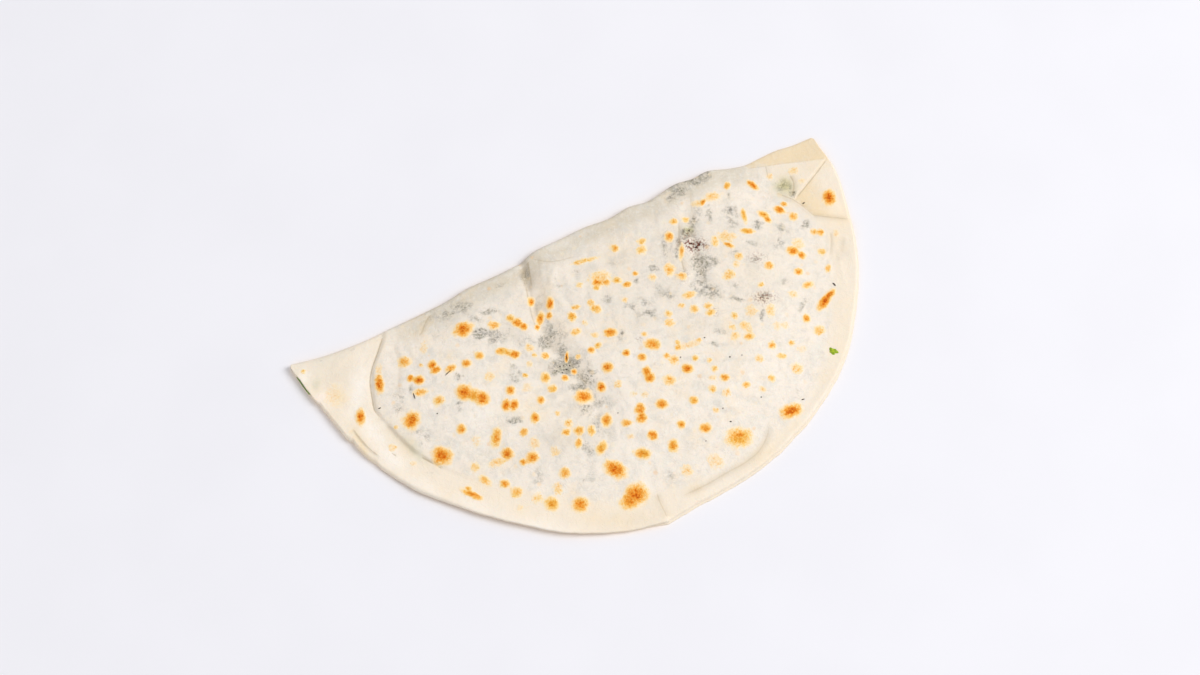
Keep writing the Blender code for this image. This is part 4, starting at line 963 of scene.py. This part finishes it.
def flatten_for_paint(mesh, plan, height):
    """A map of the skin: the top and, above it, the underside, each with half of the edges."""
    ring_size = plan.shape[1]
    run = np.zeros((SECTIONS, ring_size))
    step = np.hypot(*np.moveaxis(np.diff(plan, axis=1), 2, 0))
    run[:, 1:] = np.cumsum(np.hypot(step, abs(np.diff(height, axis=1))), axis=1)
    half_nose = TOP_ROWS + NOSE_ROWS // 2
    base_start = TOP_ROWS + NOSE_ROWS
    base_end = base_start + BASE_ROWS
    last_top = plan[:, TOP_ROWS - 1 : TOP_ROWS]
    outward = plan[:, :1] - last_top
    outward = outward / np.maximum(np.linalg.norm(outward, axis=2, keepdims=True), 1e-6)
    flat = plan.copy()
    past_fold = run[:, TOP_ROWS:base_start] - run[:, TOP_ROWS - 1 : TOP_ROWS]
    flat[:, TOP_ROWS:base_start] = last_top - outward * past_fold[:, :, None]
    past_base = run[:, base_end:] - run[:, base_end - 1 : base_end]
    flat[:, base_end:] = plan[:, base_end - 1 : base_end] + outward * past_base[:, :, None]
    under = flat.copy()
    before_base = run[:, base_start : base_start + 1] - run[:, half_nose:base_start]
    under[:, half_nose:base_start] = plan[:, base_start : base_start + 1] - outward * before_base[:, :, None]
    low = np.minimum(flat.min(axis=(0, 1)), under.min(axis=(0, 1)))
    high = np.maximum(flat.max(axis=(0, 1)), under.max(axis=(0, 1)))
    wide, tall = high - low
    scale = MAP_SIDE / max(wide, 2 * MAP_STEP * tall)
    top_map = (flat - low) * scale + MAP_EDGE
    under_map = (under - low) * scale + (MAP_EDGE, MAP_EDGE + MAP_STEP * tall * scale)

    corners = read(mesh.loops, "vertex_index")
    starts = read(mesh.polygons, "loop_start")
    face_of = np.repeat(np.arange(len(starts)), read(mesh.polygons, "loop_total"))
    place = corners % ring_size
    lowest = np.minimum.reduceat(place, starts)[face_of]
    highest = np.maximum.reduceat(place, starts)[face_of]
    below = (lowest >= half_nose) | (highest - lowest > 1)
    maps = np.where(below[:, None], under_map.reshape(-1, 2)[corners], top_map.reshape(-1, 2)[corners])
    layer = mesh.uv_layers.new(name="OFBake")
    layer.data.foreach_set("uv", maps.reshape(-1).astype(np.float32))


# ---------------------------------------------------------------- shader helpers
class Paint:
    """Builds one material's nodes, each call returning the socket it makes."""

    def __init__(self, name):
        self.material = bpy.data.materials.new(name)
        self.material.use_nodes = True
        self.tree = self.material.node_tree
        self.shader = self.tree.nodes["Principled BSDF"]
        self.place = self.tree.nodes.new("ShaderNodeTexCoord").outputs["Object"]

    def link(self, value, socket):
        """Feeds a socket from another one, or gives it a fixed value."""
        if isinstance(value, bpy.types.NodeSocket):
            self.tree.links.new(value, socket)
        else:
            socket.default_value = value

    def field(self, name):
        node = self.tree.nodes.new("ShaderNodeAttribute")
        node.attribute_name = name
        return node.outputs["Fac"]

    def math(self, kind, first, second=0.0, clamp=False):
        node = self.tree.nodes.new("ShaderNodeMath")
        node.operation = kind
        node.use_clamp = clamp
        self.link(first, node.inputs[0])
        self.link(second, node.inputs[1])
        return node.outputs[0]

    def times(self, first, second, clamp=False):
        return self.math("MULTIPLY", first, second, clamp)

    def plus(self, first, second, clamp=False):
        return self.math("ADD", first, second, clamp)

    def minus(self, first, second, clamp=False):
        return self.math("SUBTRACT", first, second, clamp)

    def ramp(self, value, start, end, low=0.0, high=1.0):
        node = self.tree.nodes.new("ShaderNodeMapRange")
        node.interpolation_type = "SMOOTHSTEP"
        self.link(value, node.inputs["Value"])
        for socket, number in zip(("From Min", "From Max", "To Min", "To Max"), (start, end, low, high)):
            node.inputs[socket].default_value = number
        return node.outputs["Result"]

    def noise(self, size, detail, roughness, distortion=0.0):
        node = self.tree.nodes.new("ShaderNodeTexNoise")
        self.link(self.place, node.inputs["Vector"])
        node.inputs["Scale"].default_value = 1.0 / (size * MM)
        node.inputs["Detail"].default_value = detail
        node.inputs["Roughness"].default_value = roughness
        node.inputs["Distortion"].default_value = distortion
        return node.outputs["Fac"]

    def uneven(self, *noise):
        """A noise that goes up and down round 0."""
        return self.minus(self.noise(*noise), 0.5)

    def veins(self, size, width, distortion):
        """Thin crooked lines, where a noise crosses its middle value."""
        off = self.math("ABSOLUTE", self.uneven(size, 4.0, 0.62, distortion))
        return self.ramp(off, 0.0, width, 1.0, 0.0)

    def cells(self, size):
        node = self.tree.nodes.new("ShaderNodeTexVoronoi")
        node.voronoi_dimensions = "2D"
        self.link(self.place, node.inputs["Vector"])
        node.inputs["Scale"].default_value = 1.0 / (size * MM)
        split = self.tree.nodes.new("ShaderNodeSeparateColor")
        self.tree.links.new(node.outputs["Color"], split.inputs[0])
        return node.outputs["Distance"], split.outputs[0], split.outputs[1]

    def mix(self, share, first, second, kind="MIX"):
        node = self.tree.nodes.new("ShaderNodeMix")
        node.data_type = "RGBA"
        node.blend_type = kind
        self.link(share, node.inputs["Factor"])
        self.link(first, node.inputs[6])
        self.link(second, node.inputs[7])
        return node.outputs[2]

    def joined_colour(self, red, green, blue):
        node = self.tree.nodes.new("ShaderNodeCombineColor")
        for value, socket in zip((red, green, blue), node.inputs):
            self.link(value, socket)
        return node.outputs["Color"]

    def colours(self, value, stops):
        node = self.tree.nodes.new("ShaderNodeValToRGB")
        node.color_ramp.interpolation = "EASE"
        elements = node.color_ramp.elements
        while len(elements) < len(stops):
            elements.new(0.5)
        for element, (place, tint) in zip(elements, stops):
            element.position = place
            element.color = tint
        self.link(value, node.inputs[0])
        return node.outputs["Color"]

    def bump(self, height, strength, distance, normal=None):
        node = self.tree.nodes.new("ShaderNodeBump")
        node.inputs["Strength"].default_value = strength
        node.inputs["Distance"].default_value = distance * MM
        self.link(height, node.inputs["Height"])
        if normal is not None:
            self.link(normal, node.inputs["Normal"])
        return node.outputs["Normal"]

    def surface(self, base, roughness, normal=None):
        """Gives the shader its colour, roughness and bumps, and returns the material."""
        self.link(base, self.shader.inputs["Base Color"])
        self.shader.inputs["Roughness"].default_value = roughness
        if normal is not None:
            self.link(normal, self.shader.inputs["Normal"])
        return self.material


MOUND_DOUGH = colour(241, 230, 216)
MARGIN_DOUGH = colour(241, 227, 207)
# Grey-beige dough of the fold's shoulder, darkened further by painted shade where it turns from the light.
SHOULDER_DOUGH_AND_SHADE = colour(212, 201, 180)
EAR_DOUGH = colour(234, 211, 172)
FLOURED = colour(247, 241, 232)
COOL_DOUGH = colour(227, 222, 211)
WARM_DOUGH = colour(243, 221, 188)
# The cut edge, painted lighter to stand for the light it gets from the floor and through the thin dough.
CUT_EDGE_PAINTED_LIGHT = colour(243, 228, 205)
# Painted shade in and beside the creases, with the darker tone of the creased dough.
CREASE_TONE_AND_SHADE = colour(164, 142, 100)
VEIL = colour(194, 186, 174)
DARK_GREENS = colour(66, 64, 54)
OLIVE_GREENS = colour(104, 102, 74)
LEAF = colour(206, 198, 144)
SPECKLE = colour(116, 48, 26)
# Warm light bounced off the dough, painted into the floor's shade close to it.
FLOOR_PAINTED_BOUNCE = colour(250, 226, 196)
PAINTED_BOUNCE_REACH = 7.0  # how far from the dough the painted warm bounce on the floor reaches
TOAST = (
    (0.0, colour(249, 232, 200)), (0.15, colour(250, 222, 178)), (0.35, colour(248, 208, 143)),
    (0.55, colour(244, 182, 91)), (0.75, colour(233, 146, 46)), (0.9, colour(216, 109, 20)),
    (1.0, colour(186, 76, 10)),
)
GOLDEN_TOAST = (
    (0.0, colour(249, 233, 202)), (0.35, colour(246, 213, 150)), (0.55, colour(238, 192, 98)),
    (0.75, colour(227, 160, 54)), (1.0, colour(190, 92, 16)),
)
CHARRED = colour(150, 92, 36)
TINT_COLOURS = {
    "shade": colour(196, 184, 164), "valley_shade": colour(196, 181, 160), "flour": colour(252, 244, 234),
    "grey": colour(232, 223, 206), "olive_and_shade": colour(214, 208, 183), "pink": colour(251, 236, 224),
    "yellow": colour(245, 220, 176), "peach": colour(255, 231, 194),
}


def bare_dough(p, mound):
    """Warm margin, cooler filled middle, both clouded and dusted with flour, with painted shade on the fold's
    shoulder, painted light on the cut edge, and soft tints, some of them painted shade.
    """
    base = p.mix(mound, MARGIN_DOUGH, MOUND_DOUGH)
    # The fold's shoulder: its grey-beige dough, with painted shade in it.
    base = p.mix(p.times(p.field("shoulder"), 0.75), base, SHOULDER_DOUGH_AND_SHADE)
    base = p.mix(p.times(p.field("ear"), 0.8), base, EAR_DOUGH)
    clouds = p.noise(15.0, 3.0, 0.6)
    base = p.mix(p.ramp(clouds, 0.48, 0.72, 0.0, 0.40), base, WARM_DOUGH)
    flour = p.ramp(p.noise(3.6, 5.0, 0.65, 0.4), 0.46, 0.70)
    flour = p.times(flour, p.plus(p.times(mound, 0.35), 0.15))
    base = p.mix(flour, base, FLOURED)
    cool = p.times(p.ramp(p.noise(6.5, 4.0, 0.6, 0.6), 0.47, 0.68, 0.0, 0.50), mound)
    base = p.mix(cool, base, COOL_DOUGH)
    mottle = p.ramp(p.noise(3.6, 3.0, 0.55, 0.5), 0.46, 0.68, 0.0, 0.27)
    base = p.mix(p.times(mottle, p.plus(mound, 0.3, clamp=True)), base, VEIL)
    powder = p.ramp(p.noise(1.7, 4.0, 0.6, 0.5), 0.50, 0.66, 0.0, 0.30)
    base = p.mix(p.times(powder, p.plus(mound, 0.4, clamp=True)), base, FLOURED)
    # Painted light on the cut edge of the rim.
    base = p.mix(p.field("cut"), base, CUT_EDGE_PAINTED_LIGHT)
    patchy = p.ramp(p.noise(3.0, 4.0, 0.6, 0.4), 0.30, 0.62, 0.60, 1.0)
    tint = p.joined_colour(p.field("tint_red"), p.field("tint_green"), p.field("tint_blue"))
    return p.mix(p.times(p.field("tint_share"), patchy), base, tint)


def greens_below(p, base, mound):
    """Greens that show through: a grey veil, and in it crumbs and a net of fine dark threads."""
    lumps = p.uneven(3.4, 4.0, 0.62, 0.5)
    patch = p.field("greens")
    dense = p.plus(p.times(patch, 1.3), p.times(lumps, 1.3))
    dense = p.ramp(dense, 0.30, 0.95)
    leaf = p.mix(p.ramp(p.noise(2.6, 2.0, 0.5), 0.42, 0.60), DARK_GREENS, OLIVE_GREENS)
    base = p.mix(p.times(dense, 0.40), base, VEIL)
    base = p.mix(p.times(p.field("leafy"), 0.75), base, LEAF)
    crumbly = p.ramp(p.noise(0.95, 4.0, 0.7, 0.6), 0.50, 0.60)
    base = p.mix(p.times(p.times(crumbly, dense), 0.66), base, leaf)
    net = p.math("MAXIMUM", p.veins(2.9, 0.055, 1.1), p.veins(1.8, 0.075, 0.8))
    threads = p.times(net, p.ramp(patch, 0.05, 0.60, 0.0, 0.55))
    threads = p.times(threads, p.ramp(lumps, -0.12, 0.10))
    base = p.mix(threads, base, leaf)
    faint = p.times(p.times(net, p.ramp(lumps, 0.0, 0.12)), 0.24)
    return p.mix(p.times(faint, mound), base, VEIL)


def creases(p, base):
    """A thin dark core along the crisp creases, uneven in width, painted crevice shade with the dough's
    darker tone there, and soft painted shade beside all of them.
    """
    uneven = p.ramp(p.noise(3.0, 2.0, 0.5), 0.35, 0.65, 0.75, 1.35)
    away = p.times(p.math("ABSOLUTE", p.field("line_away")), uneven)
    core = p.times(p.ramp(away, 0.45, 0.05), p.field("line_dark"))
    base = p.mix(p.times(p.field("line_shade"), 0.36), base, CREASE_TONE_AND_SHADE)
    return p.mix(p.times(core, 0.62), base, CREASE_TONE_AND_SHADE)


def toasted(p, base):
    """Toasted spots that darken smoothly towards a centre, with a sandy grain, and how much they cover."""
    ragged = p.uneven(1.3, 3.0, 0.6, 0.3)
    sandy = p.uneven(0.45, 2.0, 0.5)
    tone = p.field("toast_tone")
    paleness = p.minus(1.05, tone, clamp=True)
    ashen = p.times(paleness, paleness)
    crumble = p.times(ragged, p.plus(p.times(ashen, 5.6), 0.60))
    shape = p.plus(p.field("toast_shape"), crumble)
    crumble = p.times(sandy, p.plus(p.times(ashen, 4.4), 0.40))
    shape = p.plus(shape, crumble)
    cover = p.times(p.ramp(shape, -0.60, 0.30), p.times(tone, 2.2, clamp=True))
    heat = p.times(p.math("MAXIMUM", shape, 0.0), 0.70)
    heat = p.plus(heat, p.times(p.field("toast_core"), 0.06))
    heat = p.plus(heat, 0.11)
    mottled = p.times(p.uneven(1.1, 3.0, 0.6), 0.75)
    heat = p.plus(heat, p.plus(mottled, p.times(sandy, 0.38)))
    dots = p.times(p.ramp(p.noise(0.85, 2.0, 0.5), 0.52, 0.64), p.times(ashen, 1.2))
    heat = p.plus(heat, p.times(dots, p.ramp(shape, 0.0, 0.5)))
    heat = p.times(heat, tone)
    # Spots below the full tone are golden rather than orange, in places.
    golden = p.times(p.ramp(p.noise(6.0, 1.0, 0.5), 0.46, 0.60), p.ramp(tone, 0.99, 0.86, 0.0, 0.60))
    base = p.mix(cover, base, p.mix(golden, p.colours(heat, TOAST), p.colours(heat, GOLDEN_TOAST)))
    grain = p.times(p.ramp(p.noise(0.62, 2.0, 0.5), 0.52, 0.66), p.ramp(shape, 0.05, 0.80))
    grain = p.times(p.times(grain, tone, clamp=True), 0.30)
    return p.mix(grain, base, CHARRED), cover


def dough_paint():
    """Floured, griddled dough: warm margin, cooler filled middle, greens below and toasted spots."""
    p = Paint("dough_baked")
    mound = p.field("mound")
    base = bare_dough(p, mound)
    base = greens_below(p, base, mound)
    base = creases(p, base)

    # Freckles of toast, too small to be placed one by one, and dark specks of charred leaf.
    away, chance, tint = p.cells(5.6)
    size = p.ramp(chance, 0.62, 1.0, 0.0, 0.17)
    freckle = p.plus(p.minus(size, away), p.times(p.noise(0.9, 2.0, 0.5), 0.16))
    freckle = p.times(p.ramp(freckle, 0.0, 0.16), mound)
    freckle_tone = p.colours(tint, ((0.0, TOAST[0][1]), (0.6, TOAST[1][1]), (1.0, TOAST[3][1])))
    base = p.mix(p.times(freckle, 0.32), base, freckle_tone)
    specks = p.ramp(p.noise(0.75, 2.0, 0.5), 0.50, 0.58)
    base = p.mix(p.times(specks, p.field("speckled"), clamp=True), base, SPECKLE)
    base, cover = toasted(p, base)

    p.shader.inputs["Subsurface Weight"].default_value = 0.08
    p.shader.inputs["Subsurface Radius"].default_value = (1.0, 0.7, 0.45)
    p.shader.inputs["Subsurface Scale"].default_value = 1.2 * MM
    p.link(p.ramp(cover, 0.0, 1.0, 0.30, 0.06), p.shader.inputs["Specular IOR Level"])

    rough = p.bump(p.noise(3.2, 2.0, 0.5, 0.3), 0.40, 0.24)
    crinkled = p.bump(p.veins(4.6, 0.10, 0.9), 0.30, 0.20, rough)
    fine = p.bump(p.noise(0.6, 2.0, 0.5), 0.25, 0.06, crinkled)
    return p.surface(base, 0.68, p.bump(cover, 0.5, 0.08, fine))


def greens_paint():
    """Moist chopped leaves."""
    p = Paint("greens_chopped")
    shade = p.colours(
        p.noise(1.6, 4.0, 0.65, 0.5),
        ((0.25, colour(66, 92, 34)), (0.5, colour(124, 152, 72)), (0.75, colour(180, 198, 120))),
    )
    return p.surface(shade, 0.42, p.bump(p.noise(0.9, 4.0, 0.6), 0.8, 0.4))


def flake_paint():
    """The bright green of fresh herb."""
    p = Paint("herb_leaf")
    stops = ((0.3, colour(118, 150, 4)), (0.7, colour(182, 200, 22)))
    shade = p.colours(p.noise(0.9, 3.0, 0.6, 0.2), stops)
    return p.surface(shade, 0.5, p.bump(p.noise(0.5, 2.0, 0.5), 0.6, 0.15))


def crumb_paint():
    """Charred crumbs and threads."""
    p = Paint("charred")
    shade = p.colours(p.noise(0.5, 2.0, 0.5), ((0.3, colour(26, 19, 15)), (0.7, colour(72, 50, 34))))
    return p.surface(shade, 0.8, p.bump(p.noise(0.3, 2.0, 0.5), 0.5, 0.08))


def floor_paint():
    """A plain pale floor, with warm light bounced off the dough painted into its shade close to the dough."""
    p = Paint("pale_floor")
    stops = ((0.3, colour(236, 235, 240)), (0.7, colour(238, 237, 242)))
    shade = p.colours(p.noise(60.0, 2.0, 0.5), stops)
    near = p.tree.nodes.new("ShaderNodeAmbientOcclusion")
    near.inputs["Distance"].default_value = PAINTED_BOUNCE_REACH * MM
    near.samples = 8
    # Painted warm bounce: the floor gets warmer where the dough shades it.
    shade = p.mix(p.ramp(near.outputs["AO"], 1.0, 0.45, 0.0, 0.45), shade, FLOOR_PAINTED_BOUNCE)
    return p.surface(shade, 0.8)


# ---------------------------------------------------------------- small pieces
def add_object(name, mesh, material):
    """A new object in the scene."""
    mesh.materials.append(material)
    obj = bpy.data.objects.new(name, mesh)
    bpy.context.scene.collection.objects.link(obj)
    return obj


def laid(corners, turn, place, height):
    """The corners of a small piece, turned and moved to its place."""
    x, y, z = np.array(corners).T
    c, s = math.cos(turn), math.sin(turn)
    return np.column_stack([x * c - y * s + place[0], x * s + y * c + place[1], z + height])


def grain(place, height, length, width, thickness, turn, rng):
    """Corners and faces of a small bent crumb that lies on the dough."""
    rings, around = 5, 7
    corners = []
    bend = rng.uniform(-0.25, 0.25)
    for k in range(rings):
        along = -1.0 + 2.0 * k / (rings - 1)
        swell = math.sqrt(max(0.04, 1.0 - along * along))
        for m in range(around):
            angle = 2 * math.pi * m / around
            wobble = 1.0 + rng.uniform(-0.15, 0.15)
            u = along * length / 2
            v = (math.cos(angle) * swell * wobble * width / 2) + bend * width * (1.0 - along * along)
            w = math.sin(angle) * swell * wobble * thickness / 2
            corners.append((u, v, w))
    faces = ring_faces(rings, around)[:, ::-1].tolist()
    faces += [list(range(around))[::-1], list(range((rings - 1) * around, rings * around))]
    return laid(corners, turn, place, height), faces


def joined(name, parts):
    """One mesh from several lists of corners and faces."""
    corners, faces, count = [], [], 0
    for part_corners, part_faces in parts:
        corners.append(part_corners)
        faces += [tuple(index + count for index in face) for face in part_faces]
        count += len(part_corners)
    mesh = bpy.data.meshes.new(name)
    mesh.from_pydata(((np.vstack(corners) - TO_FRAME) * MM).tolist(), [], faces)
    mesh.shade_smooth()
    mesh.update()
    return mesh


def crumbs():
    """The charred crumbs, and the threads of leaf."""
    rng = np.random.default_rng(101)
    places, heights = on_top([crumb[:2] for crumb in CRUMBS])
    parts = []
    for place, height, (_, _, length, width, turn) in zip(places, heights, CRUMBS):
        thickness = 0.8 * width
        turn = math.radians(turn - FOLD_TURN)
        parts.append(grain(place, height + 0.15 * thickness, length, width, thickness, turn, rng))
    for ends in THREADS:
        (start, end), (low, high) = on_top(ends)
        offset = end - start
        turn = math.atan2(offset[1], offset[0])
        middle, height = (start + end) / 2, (low + high) / 2 + 0.05
        parts.append(grain(middle, height, np.hypot(*offset), THREAD_WIDTH, THREAD_THICKNESS, turn, rng))
    return joined("charred_crumbs", parts)


def herb_flake():
    """The flake: a notched leaf tip, slightly domed, that lies on the rim."""
    count, rings = 30, 5
    height = Top(np.array([HERB_FLAKE])).height[0]
    corners, faces = [(0.0, 0.0, 0.75)], []
    for k in range(1, rings + 1):
        reach = k / rings
        for m in range(count):
            angle = 2 * math.pi * m / count
            notch = 1.0 + sum(cut * math.sin(number * angle + start) for cut, number, start in FLAKE_NOTCHES)
            u = math.cos(angle) * FLAKE_LENGTH / 2 * notch * reach
            v = math.sin(angle) * FLAKE_WIDTH / 2 * notch * reach
            vein = 0.10 * math.exp(-((v / 0.25) ** 2))
            corners.append((u, v, 0.72 - 0.5 * reach**3 + vein + 0.05 * math.sin(4 * u)))
    for m in range(count):
        n = (m + 1) % count
        faces.append((0, 1 + m, 1 + n))
        for k in range(rings - 1):
            first = 1 + k * count
            faces.append((first + m, first + count + m, first + count + n, first + n))
    last = 1 + (rings - 1) * count
    corners += [(x * 0.9, y * 0.9, -0.2) for x, y, _ in corners[last : last + count]]
    for m in range(count):
        n = (m + 1) % count
        faces.append((last + m, last + count + m, last + count + n, last + n))
    faces.append(tuple(last + count + m for m in range(count))[::-1])
    placed = laid(corners, math.radians(FLAKE_TURN), HERB_FLAKE, height - FLAKE_SINK)
    return joined("herb_flake", [(placed, faces)])


def shreds():
    """Ends of chopped leaves that stick out of the open seam by the left tip."""
    rng = np.random.default_rng(111)
    fold, rim, share = outline(SECTIONS)
    parts = []
    for _ in range(SHREDS):
        k = int(np.argmin(abs(share - rng.uniform(*MOUTH_SHARES[1:3]))))
        outward = (rim[k] - fold[k]) / np.linalg.norm(rim[k] - fold[k])
        place = rim[k] - outward * rng.uniform(0.3, 1.2)
        turn = math.atan2(outward[1], outward[0]) + rng.uniform(-1.2, 1.2)
        sizes = [rng.uniform(*limits) for limits in SHRED_SIZES]
        parts.append(grain(place, *sizes, turn, rng))
    return joined("greens_at_seam", parts)


# ---------------------------------------------------------------- scene
KEY_LIGHT = (66.0, 1.7, 3.1, -15.0, 47.0)  # watts, size, distance, turn from +X, height angle
FILL_LIGHT = (12.0, 2.0, 2.5, 180.0, 50.0)
AMBIENT = 0.49
FLOOR_HALF = 3.0


def light(name, settings):
    """A square soft light that faces the middle of the object."""
    power, size, distance, turn, height = settings
    lamp = bpy.data.lights.new(name, "AREA")
    lamp.energy, lamp.size = power, size
    turn, height = math.radians(turn), math.radians(height)
    level = math.cos(height)
    direction = np.array([math.cos(turn) * level, math.sin(turn) * level, math.sin(height)])
    obj = bpy.data.objects.new(name, lamp)
    obj.location = direction * distance
    obj.rotation_euler = (math.pi / 2 - height, 0.0, turn + math.pi / 2)
    bpy.context.scene.collection.objects.link(obj)


def studio():
    """Pale floor and soft light."""
    world = bpy.data.worlds.new("studio")
    world.use_nodes = True
    background = world.node_tree.nodes["Background"]
    background.inputs["Color"].default_value = (0.98, 0.985, 1.0, 1.0)
    background.inputs["Strength"].default_value = AMBIENT
    bpy.context.scene.world = world
    bpy.context.scene.view_settings.view_transform = "Standard"
    light("key", KEY_LIGHT)
    light("fill", FILL_LIGHT)
    mesh = bpy.data.meshes.new("floor")
    corners = [(x * FLOOR_HALF, y * FLOOR_HALF, 0) for x, y in ((-1, -1), (1, -1), (1, 1), (-1, 1))]
    mesh.from_pydata(corners, [], [(0, 1, 2, 3)])
    add_object("floor", mesh, floor_paint())


def camera():
    """The camera that sees the dough as the photograph does."""
    place, right, up, forward = camera_axes()
    lens = bpy.data.cameras.new("camera")
    lens.lens, lens.sensor_width = LENS, SENSOR
    obj = bpy.data.objects.new("camera", lens)
    obj.location = (place - TO_FRAME) * MM
    obj.rotation_euler = mathutils.Matrix(np.column_stack([right, up, -forward]).tolist()).to_euler()
    bpy.context.scene.collection.objects.link(obj)
    bpy.context.scene.camera = obj


def main():
    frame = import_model()
    studio()
    camera()

    dough = add_object("dough_skin", dough_mesh(), dough_paint())
    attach(dough, "root")
    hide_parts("dough")

    greens = greens_paint()
    filling = frame["nodes"]["filling"]
    for slot in filling.material_slots:
        slot.material = greens

    flake = add_object("herb_flake", herb_flake(), flake_paint())
    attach(flake, "root")
    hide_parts("dough")

    seam = add_object("greens_at_seam", shreds(), greens)
    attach(seam, "root")

    specks = add_object("charred_crumbs", crumbs(), crumb_paint())
    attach(specks, "root")


main()
